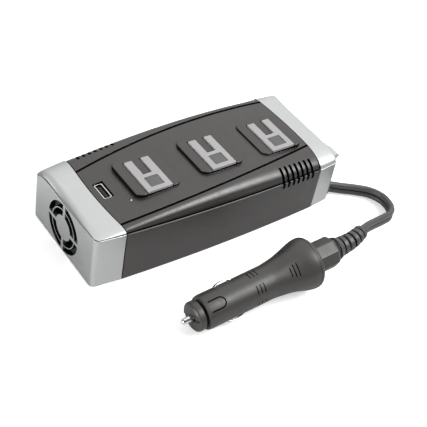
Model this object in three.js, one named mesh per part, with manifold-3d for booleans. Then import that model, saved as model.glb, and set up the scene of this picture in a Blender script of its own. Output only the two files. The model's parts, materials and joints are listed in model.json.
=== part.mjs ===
// A 12 V to 120 V power inverter: a long shallow case with two silver end caps, three outlets under
// sliding safety covers, a USB port, a cooling fan, and a short flat lead ending in a 12 V car plug.
// Millimetres. X runs along the case from the fan end (-X) to the cord end (+X), Y from the front
// to the back, Z up. The origin is on the underside, midway between the two end cap seams.
import * as THREE from 'three';
import { mergeVertices } from 'three/addons/utils/BufferGeometryUtils.js';
import Module from 'manifold-3d';

const wasm = await Module();
wasm.setup();

// ---- Driving dimensions -------------------------------------------------------------------

// The case. Its plan is the same after half a turn about Z, and so are the crease and the panel.
const SEAM = 75; // from the origin to each end cap seam
const FAN_END = 95; // from the origin to the fan end face
const CORD_END = 92; // from the origin to the cord end face
const HALF_WIDTH_AT_SEAM = 39;
const SIDE_BULGE = 2; // how far each long side bows out at the middle
const HALF_WIDTH_AT_END = 37;
const CORNER_RADIUS = 3; // upright corners of the end caps
const EDGE_RADIUS = 1.2; // long edges of the underside
const CREASE_HEIGHT = 35.6; // line where the side walls end and the top shell begins
const CREASE_RISE = 2.2; // how far that line climbs or drops from the middle to a seam
const TOP_STEP = 0.8; // how far the top shell stands inside the side walls
const PANEL_HEIGHT = 40.4; // flat top panel at the seams
const PANEL_ARCH = 3; // how much higher it is at the middle
const GROOVE = 0.7; // depth and half width of the groove along each panel edge
const FAN_ROLL = 5; // length over which the fan end cap's top rolls down to its end face
const CORD_ROLL = 1.2; // the same at the cord end, where it is only a rounded edge
const SWELL = { rise: 3.6, at: 0.2, sharp: 2.5 }; // hump in the end face's top edge at the fan end
const BOW = { out: 2.2, half: 36, steps: 12 }; // the seams across the top stand out at the middle
const WALL = 2.2;
const GAP = 0.3; // between neighbouring pieces

// The long shells are skins through this many sections. A cutter runs past what it cuts.
const SECTIONS = 12;
const LID_STEPS = 12; // across the top of a section of the lower shell
const OVERRUN = 5;
const ABOVE = 60; // higher than any part of the case
const INSIDE = 30; // a height inside the hollow of the case, under the top cover's skin
const TOP_HOLLOW = 20; // where the top cover's hollow starts, below the crease
const CAP_JOIN = 24; // bottom of a cap's rolled top, inside its side walls

// Outlets, from the fan end to the cord end.
const OUTLET_X = [-40, 8, 56];
const PAD = { width: 32.5, far: 15.4, near: -19.4, rise: 2, corner: 5 };
const COVER = { width: 17.6, near: -19.1, far: 10.3, leg: 5.5, notch: -3.8, above: 1, thick: 2, rib: 0.8 };
const COVER_RIB = 0.5; // thickness of the ribs that hold a cover down in its channel
const THUMB = { width: 9.8, length: 9, from_edge: 7.6, depth: 0.45 }; // recessed square on a cover
const CHANNEL_DEPTH = COVER.thick - COVER.above + GAP;
const CHANNEL_END = 11.3; // closed end of the channel that a cover slides in
const BLADE = { apart: 12.7, y: 5.8, width: 2.4, length: 8.2 };
const GROUND = { y: -6.1, radius: 2.6 };
const RECEPTACLE = { width: 22, back: 13, front: -11.5, bottom: 25, top: 37.9 };

// Fan and its grille.
const FAN = { z: 18.6, size: 30, depth: 10, x: -92.4, bore: 14.2, corner: 2.5 };
const FAN_HOLE = { inset: 2.6, radius: 1.3 };
const STATOR = { radius: 6.6, plate: 1.6, shaft: 0.9, strut: 1.8, turns: [30, 150, 270] };
const ROTOR = { radius: 6.6, chamfer: 0.8, end: 2.2, wall: 1.8, bore: 1.25 };
const BLADES = { count: 7, sheet: 0.9, reach: 7.6, chord: 7.2, pitch: 48, radius: 9.9 };
const GRILLE = { z: 18.3, rings: [[14.1, 17.4], [9, 12.7]], spoke: 2.6 };

// USB port and lamp on the panel.
const USB = { x: -70.2, y: -2, width: 5.7, length: 13.2, depth: 12, wall: 0.4 };
const LAMP = { x: -59.4, y: -17.2, radius: 1.4, length: 6, dome: 0.5 };

// Vent slots: seven across the shoulder at the front of the cord end, seven at the opposite corner.
const VENT = { first: 43, pitch: 4.2, count: 7, width: 1.7, reach: 8, drop: 4 };

// Screws come up from underneath, through the tub, into posts of the top cover.
const SCREW_X = 67.5;
const SCREW_Y = 27;
const POST = { radius: 3.2, bottom: 5, hole: 1.4 };
const SCREW = { head: 2.7, headHeight: 1.7, recess: 2.2, shank: 1.05, end: 13 };
const CROSS = { length: 3.4, width: 0.7, depth: 1.1 };
const SEAT = { radius: 4.6, top: 4.6 };

// The circuit board, on standoffs of the tub.
const BOARD_BOTTOM = 6;
const BOARD_SIZE = { length: 124, width: 66, thick: 1.6 };
const STANDOFF = { x: 50, y: 28, radius: 2.5 };

// Switch and cord outlet on the cord end face.
const SWITCH = {
  y: -24, z: 24.7, width: 14.6, height: 20.4, corner: 1.6, proud: 3, tilt: 10, pocket: 17.2, deep: 7,
};
const SWITCH_BODY = { width: 12.4, height: 18, depth: 14 };
const ROCKER = { width: 10.4, end: 6.6, crown: 5, dip: 2.2, round: 115, x: CORD_END + 2.6 };
const OUTLET_OF_CORD = { y: -32, z: 5.8, width: 4.6, height: 6.2 };
const GROMMET = { width: 5.2, height: 10, corner: 1.6, proud: 2.7, inside: 6 };
const CORD = { height: 8.6, thick: 4.3, steps: 16 };

// The plug. Its own length coordinate starts at the rim of the barrel and runs towards the cord.
const RIM_RADIUS = 10.6;
const HEAD_RADIUS = 16.75;
const HEAD_AT = 77.7;
const WAIST_AT = 46; // where the flare towards the head begins
const PLUG_AT = { x: -53.4, y: -90.9, lift: 0.1 };
const PLUG_TILT = Math.atan((HEAD_RADIUS - RIM_RADIUS) / HEAD_AT); // it lies on its rim and its head
const BORE = { radius: 6.2, end: 46 };
const CONTACT = { first: 13.2, last: 25.6, width: 3.9, peak: 12.4, foot: 9.2, sheet: 0.8 };
const CONTACT_ANGLES = [39, 219]; // degrees around the barrel, from +Y towards +Z
const COLLAR = { start: 81.6, end: 100, radius: 10.3, chamfer: 2.5 };
const COIN_SLOT = { angle: 143, width: 3.8, floor: -6 };
const FUSE = { start: 2.3, length: 30, radius: 3.15 };
const SPRING = { start: 36.8, turns: 5, pitch: 1.7, inner: 2.2, valley: 3.6, crest: 4.4, end: 45.5 };
const BOOT = { ribs: 5, first: 0.2, pitch: 0.16, radius: 6.2, taper: 0.32, sides: 14 };

// Centreline of the boot, from the plug's collar, and of the cord, from the case to the boot.
const BOOT_ROUTE = [[54, -90.9, 19.1], [62, -90.3, 19.7], [68.5, -88.6, 19.7], [74.3, -86.4, 18.8]];
const CORD_ROUTE = [
  [95.9, -32.2, 5.7], [99, -33.7, 5.3], [103.6, -36.6, 4.9], [112.3, -42.4, 4.7],
  [119.9, -49.3, 4.7], [123.5, -57.6, 4.8], [122.6, -65.2, 5.3], [118.9, -71.4, 6.4],
  [113, -75.7, 8], [104, -78.5, 10.8], [92.6, -81.1, 14], [83, -83.6, 16.9], [75, -86.1, 18.7],
];

// ---- Materials ----------------------------------------------------------------------------

const finish = (color, roughness, metalness = 0) =>
  new THREE.MeshStandardMaterial({ color, roughness, metalness });

const SILVER = finish(0xc9cdca, 0.45, 0.3);
const BLACK = finish(0x3c3936, 0.5);
const GREY = finish(0xc4c1c3, 0.55);
const SOCKET = finish(0x1c1b1b, 0.6);
const RUBBER = finish(0x484644, 0.7);
const PALE = finish(0xdcdcda, 0.4);
const LENS = finish(0xf2d0c8, 0.2);
const STEEL = finish(0xb8b8b8, 0.3, 1);
const CHROME = finish(0xe0e0e0, 0.12, 1);
const BRASS = finish(0xb49a4c, 0.35, 1);
const ALUMINIUM = finish(0xa9abad, 0.4, 1);
const BOARD = finish(0x1f5a34, 0.6);
const FERRITE = finish(0x2b2b2e, 0.8);
const COPPER = finish(0xa65a2a, 0.4, 0.8);
const SLEEVE = finish(0x20242c, 0.5);
const GLASS = finish(0xdfe8ea, 0.1);

// ---- Solids -------------------------------------------------------------------------------

const part = new THREE.Group();
const radians = THREE.MathUtils.degToRad;

// A closed geometry as a solid that can be joined and cut.
function solid(geometry) {
  const bare = geometry.clone();
  bare.deleteAttribute('normal');
  bare.deleteAttribute('uv');
  const merged = mergeVertices(bare);
  const index = merged.index.array;
  const kept = [];
  for (let i = 0; i < index.length; i += 3) {
    const [a, b, c] = index.slice(i, i + 3);
    if (a !== b && b !== c && c !== a) {
      kept.push(a, b, c);
    }
  }
  return new wasm.Manifold(new wasm.Mesh({
    numProp: 3,
    vertProperties: new Float32Array(merged.attributes.position.array),
    triVerts: new Uint32Array(kept),
  }));
}

function geometryOf(body) {
  const mesh = body.getMesh();
  const geometry = new THREE.BufferGeometry();
  geometry.setAttribute('position', new THREE.BufferAttribute(mesh.vertProperties, 3));
  geometry.setIndex(new THREE.BufferAttribute(mesh.triVerts, 1));
  geometry.computeVertexNormals();
  return geometry;
}

// Adds a named piece and returns its mesh.
function piece(name, body, material, parent = part) {
  const mesh = new THREE.Mesh(geometryOf(body), material);
  mesh.name = name;
  parent.add(mesh);
  return mesh;
}

function box(x0, x1, y0, y1, z0, z1) {
  const geometry = new THREE.BoxGeometry(x1 - x0, y1 - y0, z1 - z0);
  return solid(geometry.translate((x0 + x1) / 2, (y0 + y1) / 2, (z0 + z1) / 2));
}

// A block centred on x and y.
const block = (x, y, width, length, z0, z1) =>
  box(x - width / 2, x + width / 2, y - length / 2, y + length / 2, z0, z1);

// An upright round bar.
function post(x, y, radius, z0, z1, sides = 20) {
  const geometry = new THREE.CylinderGeometry(radius, radius, z1 - z0, sides);
  return solid(geometry.rotateX(Math.PI / 2).translate(x, y, (z0 + z1) / 2));
}

// A round bar along X.
function bar(x0, x1, y, z, radius, sides = 24) {
  const geometry = new THREE.CylinderGeometry(radius, radius, x1 - x0, sides);
  return solid(geometry.rotateZ(-Math.PI / 2).translate((x0 + x1) / 2, y, z));
}

// A body turned about the X axis, from points given as [x, radius]. A profile that doesn't start on
// the axis is closed on itself, and makes a ring.
function turned(profile, sides = 24) {
  const closed = profile[0][1] > 0 ? [...profile, profile[0]] : profile;
  const points = closed.map(([x, radius]) => new THREE.Vector2(radius, x));
  const area = THREE.ShapeUtils.area(points);
  const ordered = area < 0 ? points.reverse() : points;
  return solid(new THREE.LatheGeometry(ordered, sides).rotateZ(-Math.PI / 2));
}

// A flat outline of [a, b] points, pushed along the third direction.
function outline(points) {
  return new THREE.Shape(points.map(([a, b]) => new THREE.Vector2(a, b)));
}

function roundedOutline(width, height, radius, steps = 5) {
  const points = [];
  for (let corner = 0; corner < 4; corner += 1) {
    const sx = corner === 0 || corner === 3 ? 1 : -1;
    const sy = corner < 2 ? 1 : -1;
    for (let step = 0; step <= steps; step += 1) {
      const angle = (corner + step / steps) * Math.PI / 2;
      points.push([
        sx * (width / 2 - radius) + radius * Math.cos(angle),
        sy * (height / 2 - radius) + radius * Math.sin(angle),
      ]);
    }
  }
  return points;
}

// An XY outline pushed up from z0 to z1.
function raised(points, z0, z1) {
  const geometry = new THREE.ExtrudeGeometry(outline(points), { depth: z1 - z0, bevelEnabled: false });
  return solid(geometry.translate(0, 0, z0));
}

// A YZ outline pushed along X from x0 to x1.
function along(points, x0, x1) {
  const geometry = new THREE.ExtrudeGeometry(outline(points), { depth: x1 - x0, bevelEnabled: false });
  geometry.rotateY(Math.PI / 2).rotateX(Math.PI / 2);
  return solid(geometry.translate(x0, 0, 0));
}

// An XZ outline pushed along Y from y0 to y1.
function across(points, y0, y1) {
  const geometry = new THREE.ExtrudeGeometry(outline(points), { depth: y1 - y0, bevelEnabled: false });
  return solid(geometry.rotateX(Math.PI / 2).translate(0, y1, 0));
}

// A skin through rings of points, closed at both ends: a cylinder whose rings are reshaped. The
// rings turn anticlockwise about the direction from the last ring to the first.
function loft(rings) {
  const sides = rings[0].length;
  const rows = rings.length - 1;
  const geometry = new THREE.CylinderGeometry(1, 1, 1, sides, rows);
  const position = geometry.attributes.position;
  for (let i = 0; i < position.count; i += 1) {
    const [x, y, z] = [position.getX(i), position.getY(i), position.getZ(i)];
    const ring = rings[Math.round((0.5 - y) * rows)];
    const side = Math.round(Math.atan2(x, z) / (2 * Math.PI) * sides);
    const point = new THREE.Vector3();
    if (Math.hypot(x, z) > 0.5) {
      point.copy(ring[(side + sides) % sides]);
    } else {
      ring.forEach((corner) => point.addScaledVector(corner, 1 / sides));
    }
    position.setXYZ(i, point.x, point.y, point.z);
  }
  return solid(geometry);
}

const span = (from, to, steps) =>
  Array.from({ length: steps + 1 }, (_, i) => THREE.MathUtils.lerp(from, to, i / steps));

// ---- The case's surfaces ------------------------------------------------------------------

const endOf = (x) => (x < 0 ? FAN_END : CORD_END);
const rollOf = (x) => (x < 0 ? FAN_ROLL : CORD_ROLL);

function halfWidth(x) {
  const reach = Math.abs(x);
  if (reach <= SEAM) {
    return HALF_WIDTH_AT_SEAM + SIDE_BULGE * (1 - (x / SEAM) ** 2);
  }
  const taper = (reach - SEAM) / (endOf(x) - SEAM);
  const straight = THREE.MathUtils.lerp(HALF_WIDTH_AT_SEAM, HALF_WIDTH_AT_END, taper);
  const into = Math.max(0, reach - endOf(x) + CORNER_RADIUS);
  return straight - CORNER_RADIUS + Math.sqrt(Math.max(0, CORNER_RADIUS ** 2 - into ** 2));
}

// side is 1 at the back and -1 at the front.
const creaseHeight = (x, side) => CREASE_HEIGHT + side * CREASE_RISE * x / SEAM;

const panelHeight = (x) => PANEL_HEIGHT + PANEL_ARCH * (1 - (x / SEAM) ** 2);

// How far the panel reaches from the middle: 31 mm at one end of a side and 19.5 mm at the other.
function panelReach(x, side) {
  const t = (SEAM - side * x) / (2 * SEAM);
  return 31 + 5 * t - 16.5 * t ** 2;
}

// How far x is into the rounded end of a cap's top: 0 before it, 1 where the top meets the end face.
function intoRoll(x) {
  const top = endOf(x) - TOP_STEP;
  return THREE.MathUtils.clamp((Math.abs(x) - top) / rollOf(x) + 1, 0, 1);
}

// Height at y of the line where the walls end and the top begins.
function ledge(x, y) {
  const w = halfWidth(x);
  const straight = THREE.MathUtils.lerp(creaseHeight(x, 1), creaseHeight(x, -1), (w - y) / (2 * w));
  if (x > 0) {
    return straight;
  }
  const along = Math.max(0, HALF_WIDTH_AT_END - y) / (2 * HALF_WIDTH_AT_END * SWELL.at);
  return straight + SWELL.rise * (along * Math.exp(1 - along)) ** SWELL.sharp * intoRoll(x) ** 2;
}

const ringAt = (x, points) => points.map(([y, z]) => new THREE.Vector3(x, y, z));

// Section of the lower shell at x.
function lowerRing(x, inset, bottom, lift) {
  const w = halfWidth(x) - inset;
  const r = EDGE_RADIUS;
  const cut = r * (1 - Math.SQRT1_2);
  const lid = span(w, -w, LID_STEPS).map((y) => [y, ledge(x, y) + lift]);
  return ringAt(x, [
    [w, bottom + r], ...lid, [-w, bottom + r], [-w + cut, bottom + cut], [-w + r, bottom],
    [w - r, bottom], [w - cut, bottom + cut],
  ]);
}

// One shoulder, from the crease up to the panel, with the groove beside the panel if there is one.
function shoulder(x, side, inset, groove) {
  const w = halfWidth(x) - TOP_STEP - inset;
  const reach = panelReach(x, side);
  const crease = creaseHeight(x, side) + GAP;
  const rise = panelHeight(x) - inset - crease;
  const edge = reach + 2 * groove;
  const points = [];
  for (const angle of span(0, 90, 5)) {
    const a = radians(angle);
    points.push([side * (edge + (w - edge) * Math.cos(a)), crease + rise * Math.sin(a)]);
  }
  points.push([side * (reach + groove), crease + rise - groove]);
  points.push([side * reach, crease + rise]);
  return side > 0 ? points : points.reverse();
}

// Section of the top shell at x, sunk towards the ledge where the share that is kept is below 1.
// With a base height it reaches down to it, and otherwise it stops at the crease.
function upperRing(x, inset, { groove = 0.001, kept = 1, base = null } = {}) {
  const back = shoulder(x, 1, inset, groove);
  const front = shoulder(x, -1, inset, groove);
  const points = [...back, ...front].map(
    ([y, z]) => [y, THREE.MathUtils.lerp(ledge(x, y) + GAP, z, kept)]);
  if (base !== null) {
    points.unshift([points[0][0], base]);
    points.push([points[points.length - 1][0], base]);
  }
  return ringAt(x, points);
}

// A skin from one end of the case to the other, reaching past the seams by a distance.
const long = (past, ring) => loft(span(SEAM + past, -SEAM - past, SECTIONS).map(ring));

// The bowed seam across the top, a distance past where the cord end's seam would be if it were straight.
const seamCurve = (past) => span(-BOW.half, BOW.half, BOW.steps).map(
  (y) => [SEAM + past + BOW.out * (1 - (y / BOW.half) ** 2), y]);

// Cutters of what lies beyond the seams, for the top cover, and of what lies inside one, for a cap.
function beyondSeams() {
  const [inner, outer] = [SEAM - GAP / 2, CORD_END];
  const plan = [[inner, -ABOVE], ...seamCurve(-GAP / 2), [inner, ABOVE], [outer, ABOVE], [outer, -ABOVE]];
  const cutter = raised(plan, 0, ABOVE);
  return cutter.add(cutter.rotate([0, 0, 180]));
}

function insideSeam(sign) {
  const inner = SEAM - OVERRUN;
  const cutter = raised([...seamCurve(GAP / 2), [inner, BOW.half], [inner, -BOW.half]], INSIDE, ABOVE);
  return cutter.rotate([0, 0, sign < 0 ? 180 : 0]);
}

const outerTop = () => long(OVERRUN, (x) => upperRing(x, 0, { groove: GROOVE })).subtract(beyondSeams());
const innerTop = () => long(OVERRUN, (x) => upperRing(x, WALL, { base: TOP_HOLLOW }));
const outerTub = () => long(-GAP / 2, (x) => lowerRing(x, 0, 0, 0));
const innerTub = () => long(OVERRUN, (x) => lowerRing(x, WALL, WALL, OVERRUN));

// The cutters of the vent slots at the corner where x has the sign of -side.
function vents(side) {
  const slots = [];
  for (let i = 0; i < VENT.count; i += 1) {
    const x = VENT.first + i * VENT.pitch;
    const outer = halfWidth(x) + 1;
    const inner = halfWidth(x) - VENT.reach;
    const bottom = creaseHeight(x, -1) - VENT.drop;
    const cutter = box(x - VENT.width / 2, x + VENT.width / 2, -outer, -inner, bottom, ABOVE);
    slots.push(side < 0 ? cutter : cutter.rotate([0, 0, 180]));
  }
  return slots;
}

// ---- The body: tub and top cover ----------------------------------------------------------

const fourPlaces = (x, y) => [[-x, -y], [-x, y], [x, -y], [x, y]];
const screwPlaces = fourPlaces(SCREW_X, SCREW_Y);

function bottomTub() {
  let tub = outerTub().subtract(innerTub());
  for (const [x, y] of screwPlaces) {
    tub = tub.add(post(x, y, SEAT.radius, WALL - 1, SEAT.top));
    tub = tub.subtract(post(x, y, SCREW.head + GAP, -1, SCREW.recess));
    tub = tub.subtract(post(x, y, SCREW.shank + GAP, -1, SEAT.top + 1, 12));
  }
  for (const [x, y] of fourPlaces(STANDOFF.x, STANDOFF.y)) {
    tub = tub.add(post(x, y, STANDOFF.radius, WALL - 1, BOARD_BOTTOM - GAP, 12));
  }
  for (const cutter of [...vents(-1), ...vents(1)]) {
    tub = tub.subtract(cutter);
  }
  return tub;
}

const padTop = (x) => panelHeight(x) + PAD.rise;

// The raised, level pad around the outlet at x.
function pad(x) {
  const plan = roundedOutline(PAD.width, PAD.far - PAD.near, PAD.corner);
  return raised(plan, INSIDE, padTop(x)).translate([x, (PAD.far + PAD.near) / 2, 0]);
}

// The channel for a cover, wider at its floor for the cover's ribs, without the tongue that guides
// the cover's two legs. Its z is measured from the pad's top.
function channel() {
  const near = PAD.near - 2 * OVERRUN;
  const groove = COVER.width / 2 + COVER.rib + GAP;
  const wide = box(-groove, groove, near, CHANNEL_END, -CHANNEL_DEPTH, 2 * GAP + COVER_RIB - CHANNEL_DEPTH);
  const half = COVER.width / 2 + GAP;
  const open = box(-half, half, near, CHANNEL_END, -CHANNEL_DEPTH, OVERRUN);
  const tongue = COVER.width / 2 - COVER.leg - GAP;
  const start = COVER.notch + 2 * GAP;
  const kept = box(-tongue, tongue, start, CHANNEL_END + 1, -CHANNEL_DEPTH - 1, 0);
  return wide.add(open).subtract(kept);
}

function outletHoles(bottom) {
  const blades = [-1, 1].map((side) => box(
    side * BLADE.apart / 2 - BLADE.width / 2, side * BLADE.apart / 2 + BLADE.width / 2,
    BLADE.y - BLADE.length / 2, BLADE.y + BLADE.length / 2, bottom, ABOVE));
  return blades[0].add(blades[1]).add(post(0, GROUND.y, GROUND.radius, bottom, ABOVE, 16));
}

function topCover() {
  let cover = outerTop();
  for (const x of OUTLET_X) {
    cover = cover.add(pad(x));
  }
  cover = cover.subtract(innerTop());
  for (const x of OUTLET_X) {
    cover = cover.subtract(channel().translate([x, 0, padTop(x)]));
    cover = cover.subtract(outletHoles(INSIDE).translate([x, 0, 0]));
  }
  for (const cutter of [...vents(-1), ...vents(1)]) {
    cover = cover.subtract(cutter);
  }
  for (const [x, y] of screwPlaces) {
    cover = cover.add(post(x, y, POST.radius, POST.bottom, panelHeight(x) - WALL / 2, 16));
    cover = cover.subtract(post(x, y, POST.hole, POST.bottom - 1, INSIDE, 12));
  }
  const { width, length } = USB;
  cover = cover.subtract(block(USB.x, USB.y, width + 2 * GAP, length + 2 * GAP, INSIDE, ABOVE));
  return cover.subtract(post(LAMP.x, LAMP.y, LAMP.radius + GAP, INSIDE, ABOVE, 16));
}

piece('bottom_tub', bottomTub(), BLACK);
piece('top_cover', topCover(), BLACK);

// A pan head screw with a cross recess.
function screw() {
  const shape = turned([
    [0.4, 0], [0.4, SCREW.head - 0.5], [0.9, SCREW.head], [SCREW.headHeight, SCREW.head],
    [SCREW.headHeight, SCREW.shank], [SCREW.end - 1, SCREW.shank], [SCREW.end, 0],
  ], 16).rotate([0, -90, 0]);
  const { length, width, depth } = CROSS;
  return shape.subtract(block(0, 0, length, width, 0, depth)).subtract(block(0, 0, width, length, 0, depth));
}

screwPlaces.forEach(([x, y], i) => {
  piece(`case_screw_${i + 1}`, screw(), STEEL).position.set(x, y, 0);
});

// ---- End caps -----------------------------------------------------------------------------

// Distances from the middle to sections of a cap, closer together where it curves in to its end.
const capPlaces = (end, radius, steps) => [SEAM + GAP / 2, SEAM + OVERRUN, ...span(0, 90, steps).map(
  (a) => end - radius + radius * Math.sin(radians(a)))];

// A skin through sections of a cap. sign is -1 at the fan end and 1 at the cord end.
function capSkin(sign, places, ring) {
  const rings = places.map((x) => ring(sign * x));
  return loft(sign > 0 ? rings.reverse() : rings);
}

// A cap's side walls and end face, joined to a top that rolls down to the end face.
function capShell(sign) {
  const end = endOf(sign);
  const top = end - TOP_STEP;
  const least = 0.02; // share of the rise that is left where the top meets the end face
  const lower = capSkin(sign, capPlaces(end, CORNER_RADIUS, 4), (x) => lowerRing(x, 0, 0, 0));
  const upper = capSkin(sign, capPlaces(top, rollOf(sign), 6), (x) => {
    const kept = Math.max(Math.sqrt(1 - intoRoll(x) ** 2), least);
    return upperRing(x, 0, { kept, base: CAP_JOIN });
  });
  return lower.add(upper).subtract(insideSeam(sign));
}

function capHollow(sign) {
  const end = endOf(sign) - WALL;
  const lower = capSkin(sign, span(SEAM - OVERRUN, end, 3), (x) => lowerRing(x, WALL, WALL, GAP));
  const short = span(SEAM - OVERRUN, end - Math.max(rollOf(sign) - WALL / 2, WALL / 2), 3);
  return lower.add(capSkin(sign, short, (x) => upperRing(x, WALL, { base: CAP_JOIN })));
}

// Ring slots of the grille, split by four spokes that stand upright and level.
function grille() {
  const { z, rings, spoke } = GRILLE;
  const [x0, x1] = [-FAN_END - 1, -FAN_END + WALL + 1];
  const slots = rings.map(([inner, outer]) =>
    bar(x0, x1, 0, z, outer, 32).subtract(bar(x0 - 1, x1 + 1, 0, z, inner, 32)));
  const level = box(x0 - 1, x1 + 1, -HALF_WIDTH_AT_END, HALF_WIDTH_AT_END, z - spoke / 2, z + spoke / 2);
  const upright = box(x0 - 1, x1 + 1, -spoke / 2, spoke / 2, 0, ABOVE);
  return slots[0].add(slots[1]).subtract(level).subtract(upright);
}

piece('fan_end_cap', capShell(-1).subtract(capHollow(-1)).subtract(grille()), SILVER);

// A cutter of a rectangular hole through the end face.
const hole = (y, z, width, height) => box(CORD_END - 2 * WALL, CORD_END + 1,
  y - width / 2, y + width / 2, z - height / 2, z + height / 2);

function cordEndCap() {
  const window = hole(SWITCH.y, SWITCH.z, SWITCH_BODY.width + 2 * GAP, SWITCH_BODY.height + 2 * GAP);
  const { y, z, width, height } = OUTLET_OF_CORD;
  return capShell(1).subtract(capHollow(1)).subtract(window).subtract(hole(y, z, width, height));
}

piece('cord_end_cap', cordEndCap(), SILVER);

// ---- Fan ----------------------------------------------------------------------------------

// The square frame, with the stator's plate on three struts at its back, and the shaft in front of it.
function fanFrame() {
  const { size, depth, x, z, bore, corner } = FAN;
  const back = x + depth;
  const plan = roundedOutline(size, size, corner, 3).map(([y, h]) => [y, h + z]);
  let frame = along(plan, x, back).subtract(bar(x - 1, back + 1, 0, z, bore, 32));
  const reach = size / 2 - FAN_HOLE.inset;
  for (const [y, h] of fourPlaces(reach, reach)) {
    frame = frame.subtract(bar(x - 1, back + 1, y, z + h, FAN_HOLE.radius, 8));
  }
  frame = frame.add(bar(back - STATOR.plate, back, 0, z, STATOR.radius, 20));
  frame = frame.add(bar(x + ROTOR.end + ROTOR.chamfer, back, 0, z, STATOR.shaft, 8));
  const half = STATOR.strut / 2;
  for (const turn of STATOR.turns) {
    const strut = box(back - STATOR.plate, back, STATOR.radius - 1, bore + 0.5, -half, half);
    frame = frame.add(strut.rotate([turn, 0, 0]).translate([0, 0, z]));
  }
  return frame;
}

// The hub and its blades, bored for the shaft.
function fanRotor() {
  const front = FAN.x + ROTOR.chamfer;
  const back = FAN.x + FAN.depth - ROTOR.end;
  const { radius, chamfer, wall, bore } = ROTOR;
  let rotor = turned([
    [front, 0], [front, radius - chamfer], [front + chamfer, radius], [back, radius], [back, 0],
  ], 20);
  for (let i = 0; i < BLADES.count; i += 1) {
    const blade = new THREE.BoxGeometry(BLADES.sheet, BLADES.reach, BLADES.chord);
    blade.rotateY(radians(BLADES.pitch)).translate((front + back) / 2, BLADES.radius, 0);
    rotor = rotor.add(solid(blade).rotate([i * 360 / BLADES.count, 0, 0]));
  }
  rotor = rotor.subtract(bar(front + wall, back + 1, 0, 0, bore, 12));
  return rotor.translate([0, 0, FAN.z]);
}

piece('fan_frame', fanFrame(), SOCKET);
piece('fan_rotor', fanRotor(), SOCKET);

// ---- Outlets ------------------------------------------------------------------------------

// A safety cover: two legs and a crossbar with a recessed square thumb pad. Its z is measured from
// the pad's top.
function outletCover() {
  const { near, far, notch } = COVER;
  const half = COVER.width / 2;
  const inner = half - COVER.leg;
  const plan = (edge) => [
    [-edge, near], [edge, near], [edge, far], [inner, far], [inner, notch], [-inner, notch],
    [-inner, far], [-edge, far],
  ];
  const floor = -CHANNEL_DEPTH + GAP;
  const plate = raised(plan(half), floor, COVER.above);
  const ribs = raised(plan(half + COVER.rib), floor, floor + COVER_RIB);
  const square = block(0, near + THUMB.from_edge, THUMB.width, THUMB.length,
    COVER.above - THUMB.depth, COVER.above + 1);
  return plate.add(ribs).subtract(square);
}

function receptacle() {
  const { width, back, front, bottom, top } = RECEPTACLE;
  return box(-width / 2, width / 2, front, back, bottom, top).subtract(outletHoles(bottom - 1));
}

OUTLET_X.forEach((x, i) => {
  piece(`outlet_cover_${i + 1}`, outletCover(), GREY).position.set(x, 0, padTop(x));
  piece(`receptacle_${i + 1}`, receptacle(), SOCKET).position.set(x, 0, 0);
});

// Bus bars under the receptacles, each with a springy tab that stands up into every outlet.
const BUS = { z: 23.2, sheet: 0.8, width: 3.4, first: -50, last: 68, tab: 2.4, below: 3 };

function busBar(stripY, tabX, tabY) {
  let strip = box(BUS.first, BUS.last, stripY - BUS.width / 2, stripY + BUS.width / 2,
    BUS.z, BUS.z + BUS.sheet);
  for (const x of OUTLET_X) {
    strip = strip.add(block(x + tabX, tabY, BUS.sheet, BUS.tab, BUS.z, RECEPTACLE.top - BUS.below));
  }
  return strip;
}

piece('line_bus', busBar(BLADE.y + 2.4, BLADE.apart / 2 + 0.5, BLADE.y + 2.4), BRASS);
piece('neutral_bus', busBar(BLADE.y - 2.6, -BLADE.apart / 2 - 0.5, BLADE.y - 2.4), BRASS);
piece('ground_bus', busBar(GROUND.y, 1.4, GROUND.y), BRASS);

// ---- USB port and lamp --------------------------------------------------------------------

const usbTop = panelHeight(USB.x) - USB.wall;
const TONGUE = { base: 2.5, back: 0.4, front: 1.4, reach: 5.2, below: 1.2 };

function usbShell() {
  const { x, y, width, length, depth, wall } = USB;
  const outer = block(x, y, width, length, usbTop - depth, usbTop);
  return outer.subtract(block(x, y, width - 2 * wall, length - 2 * wall, usbTop - depth - 1, usbTop + 1));
}

function usbTongue() {
  const { x, y, width, length, depth, wall } = USB;
  const inner = width / 2 - wall - GAP;
  const { base, back, front, reach, below } = TONGUE;
  const foot = usbTop - depth;
  const seat = block(x, y, 2 * inner, length - 2 * wall - 2 * GAP, foot, foot + base);
  return seat.add(box(x - back, x + front, y - reach, y + reach, foot + 1, usbTop - below));
}

piece('usb_shell', usbShell(), STEEL);
piece('usb_tongue', usbTongue(), SOCKET);

function powerLamp() {
  const top = panelHeight(LAMP.x);
  const { radius, length, dome } = LAMP;
  const crown = span(0, 90, 3).map((a) => [top + dome * Math.sin(radians(a)), radius * Math.cos(radians(a))]);
  crown[crown.length - 1][1] = 0;
  return turned([[top - length, 0], [top - length, radius], ...crown], 16).rotate([0, -90, 0]);
}

piece('power_lamp', powerLamp(), LENS).position.set(LAMP.x, LAMP.y, 0);

// ---- Electronics --------------------------------------------------------------------------

const { length: boardLength, width: boardWidth, thick: boardThick } = BOARD_SIZE;
const ON_BOARD = BOARD_BOTTOM + boardThick + GAP;

piece('circuit_board', block(0, 0, boardLength, boardWidth, BOARD_BOTTOM, BOARD_BOTTOM + boardThick), BOARD);

// Comb section heat sinks along both long sides, with two power transistors on each.
const SINK = { y: 26, length: 80, sheet: 2, top: 22.4, fins: 9, fin: 1.6, reach: 5.5 };

function heatSink() {
  const { length, sheet, top, fins, fin, reach } = SINK;
  let sink = block(0, 0, length, sheet, ON_BOARD, top);
  for (const x of span((fin - length) / 2, (length - fin) / 2, fins - 1)) {
    sink = sink.add(box(x - fin / 2, x + fin / 2, 0, reach, ON_BOARD, top));
  }
  return sink;
}

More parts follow.
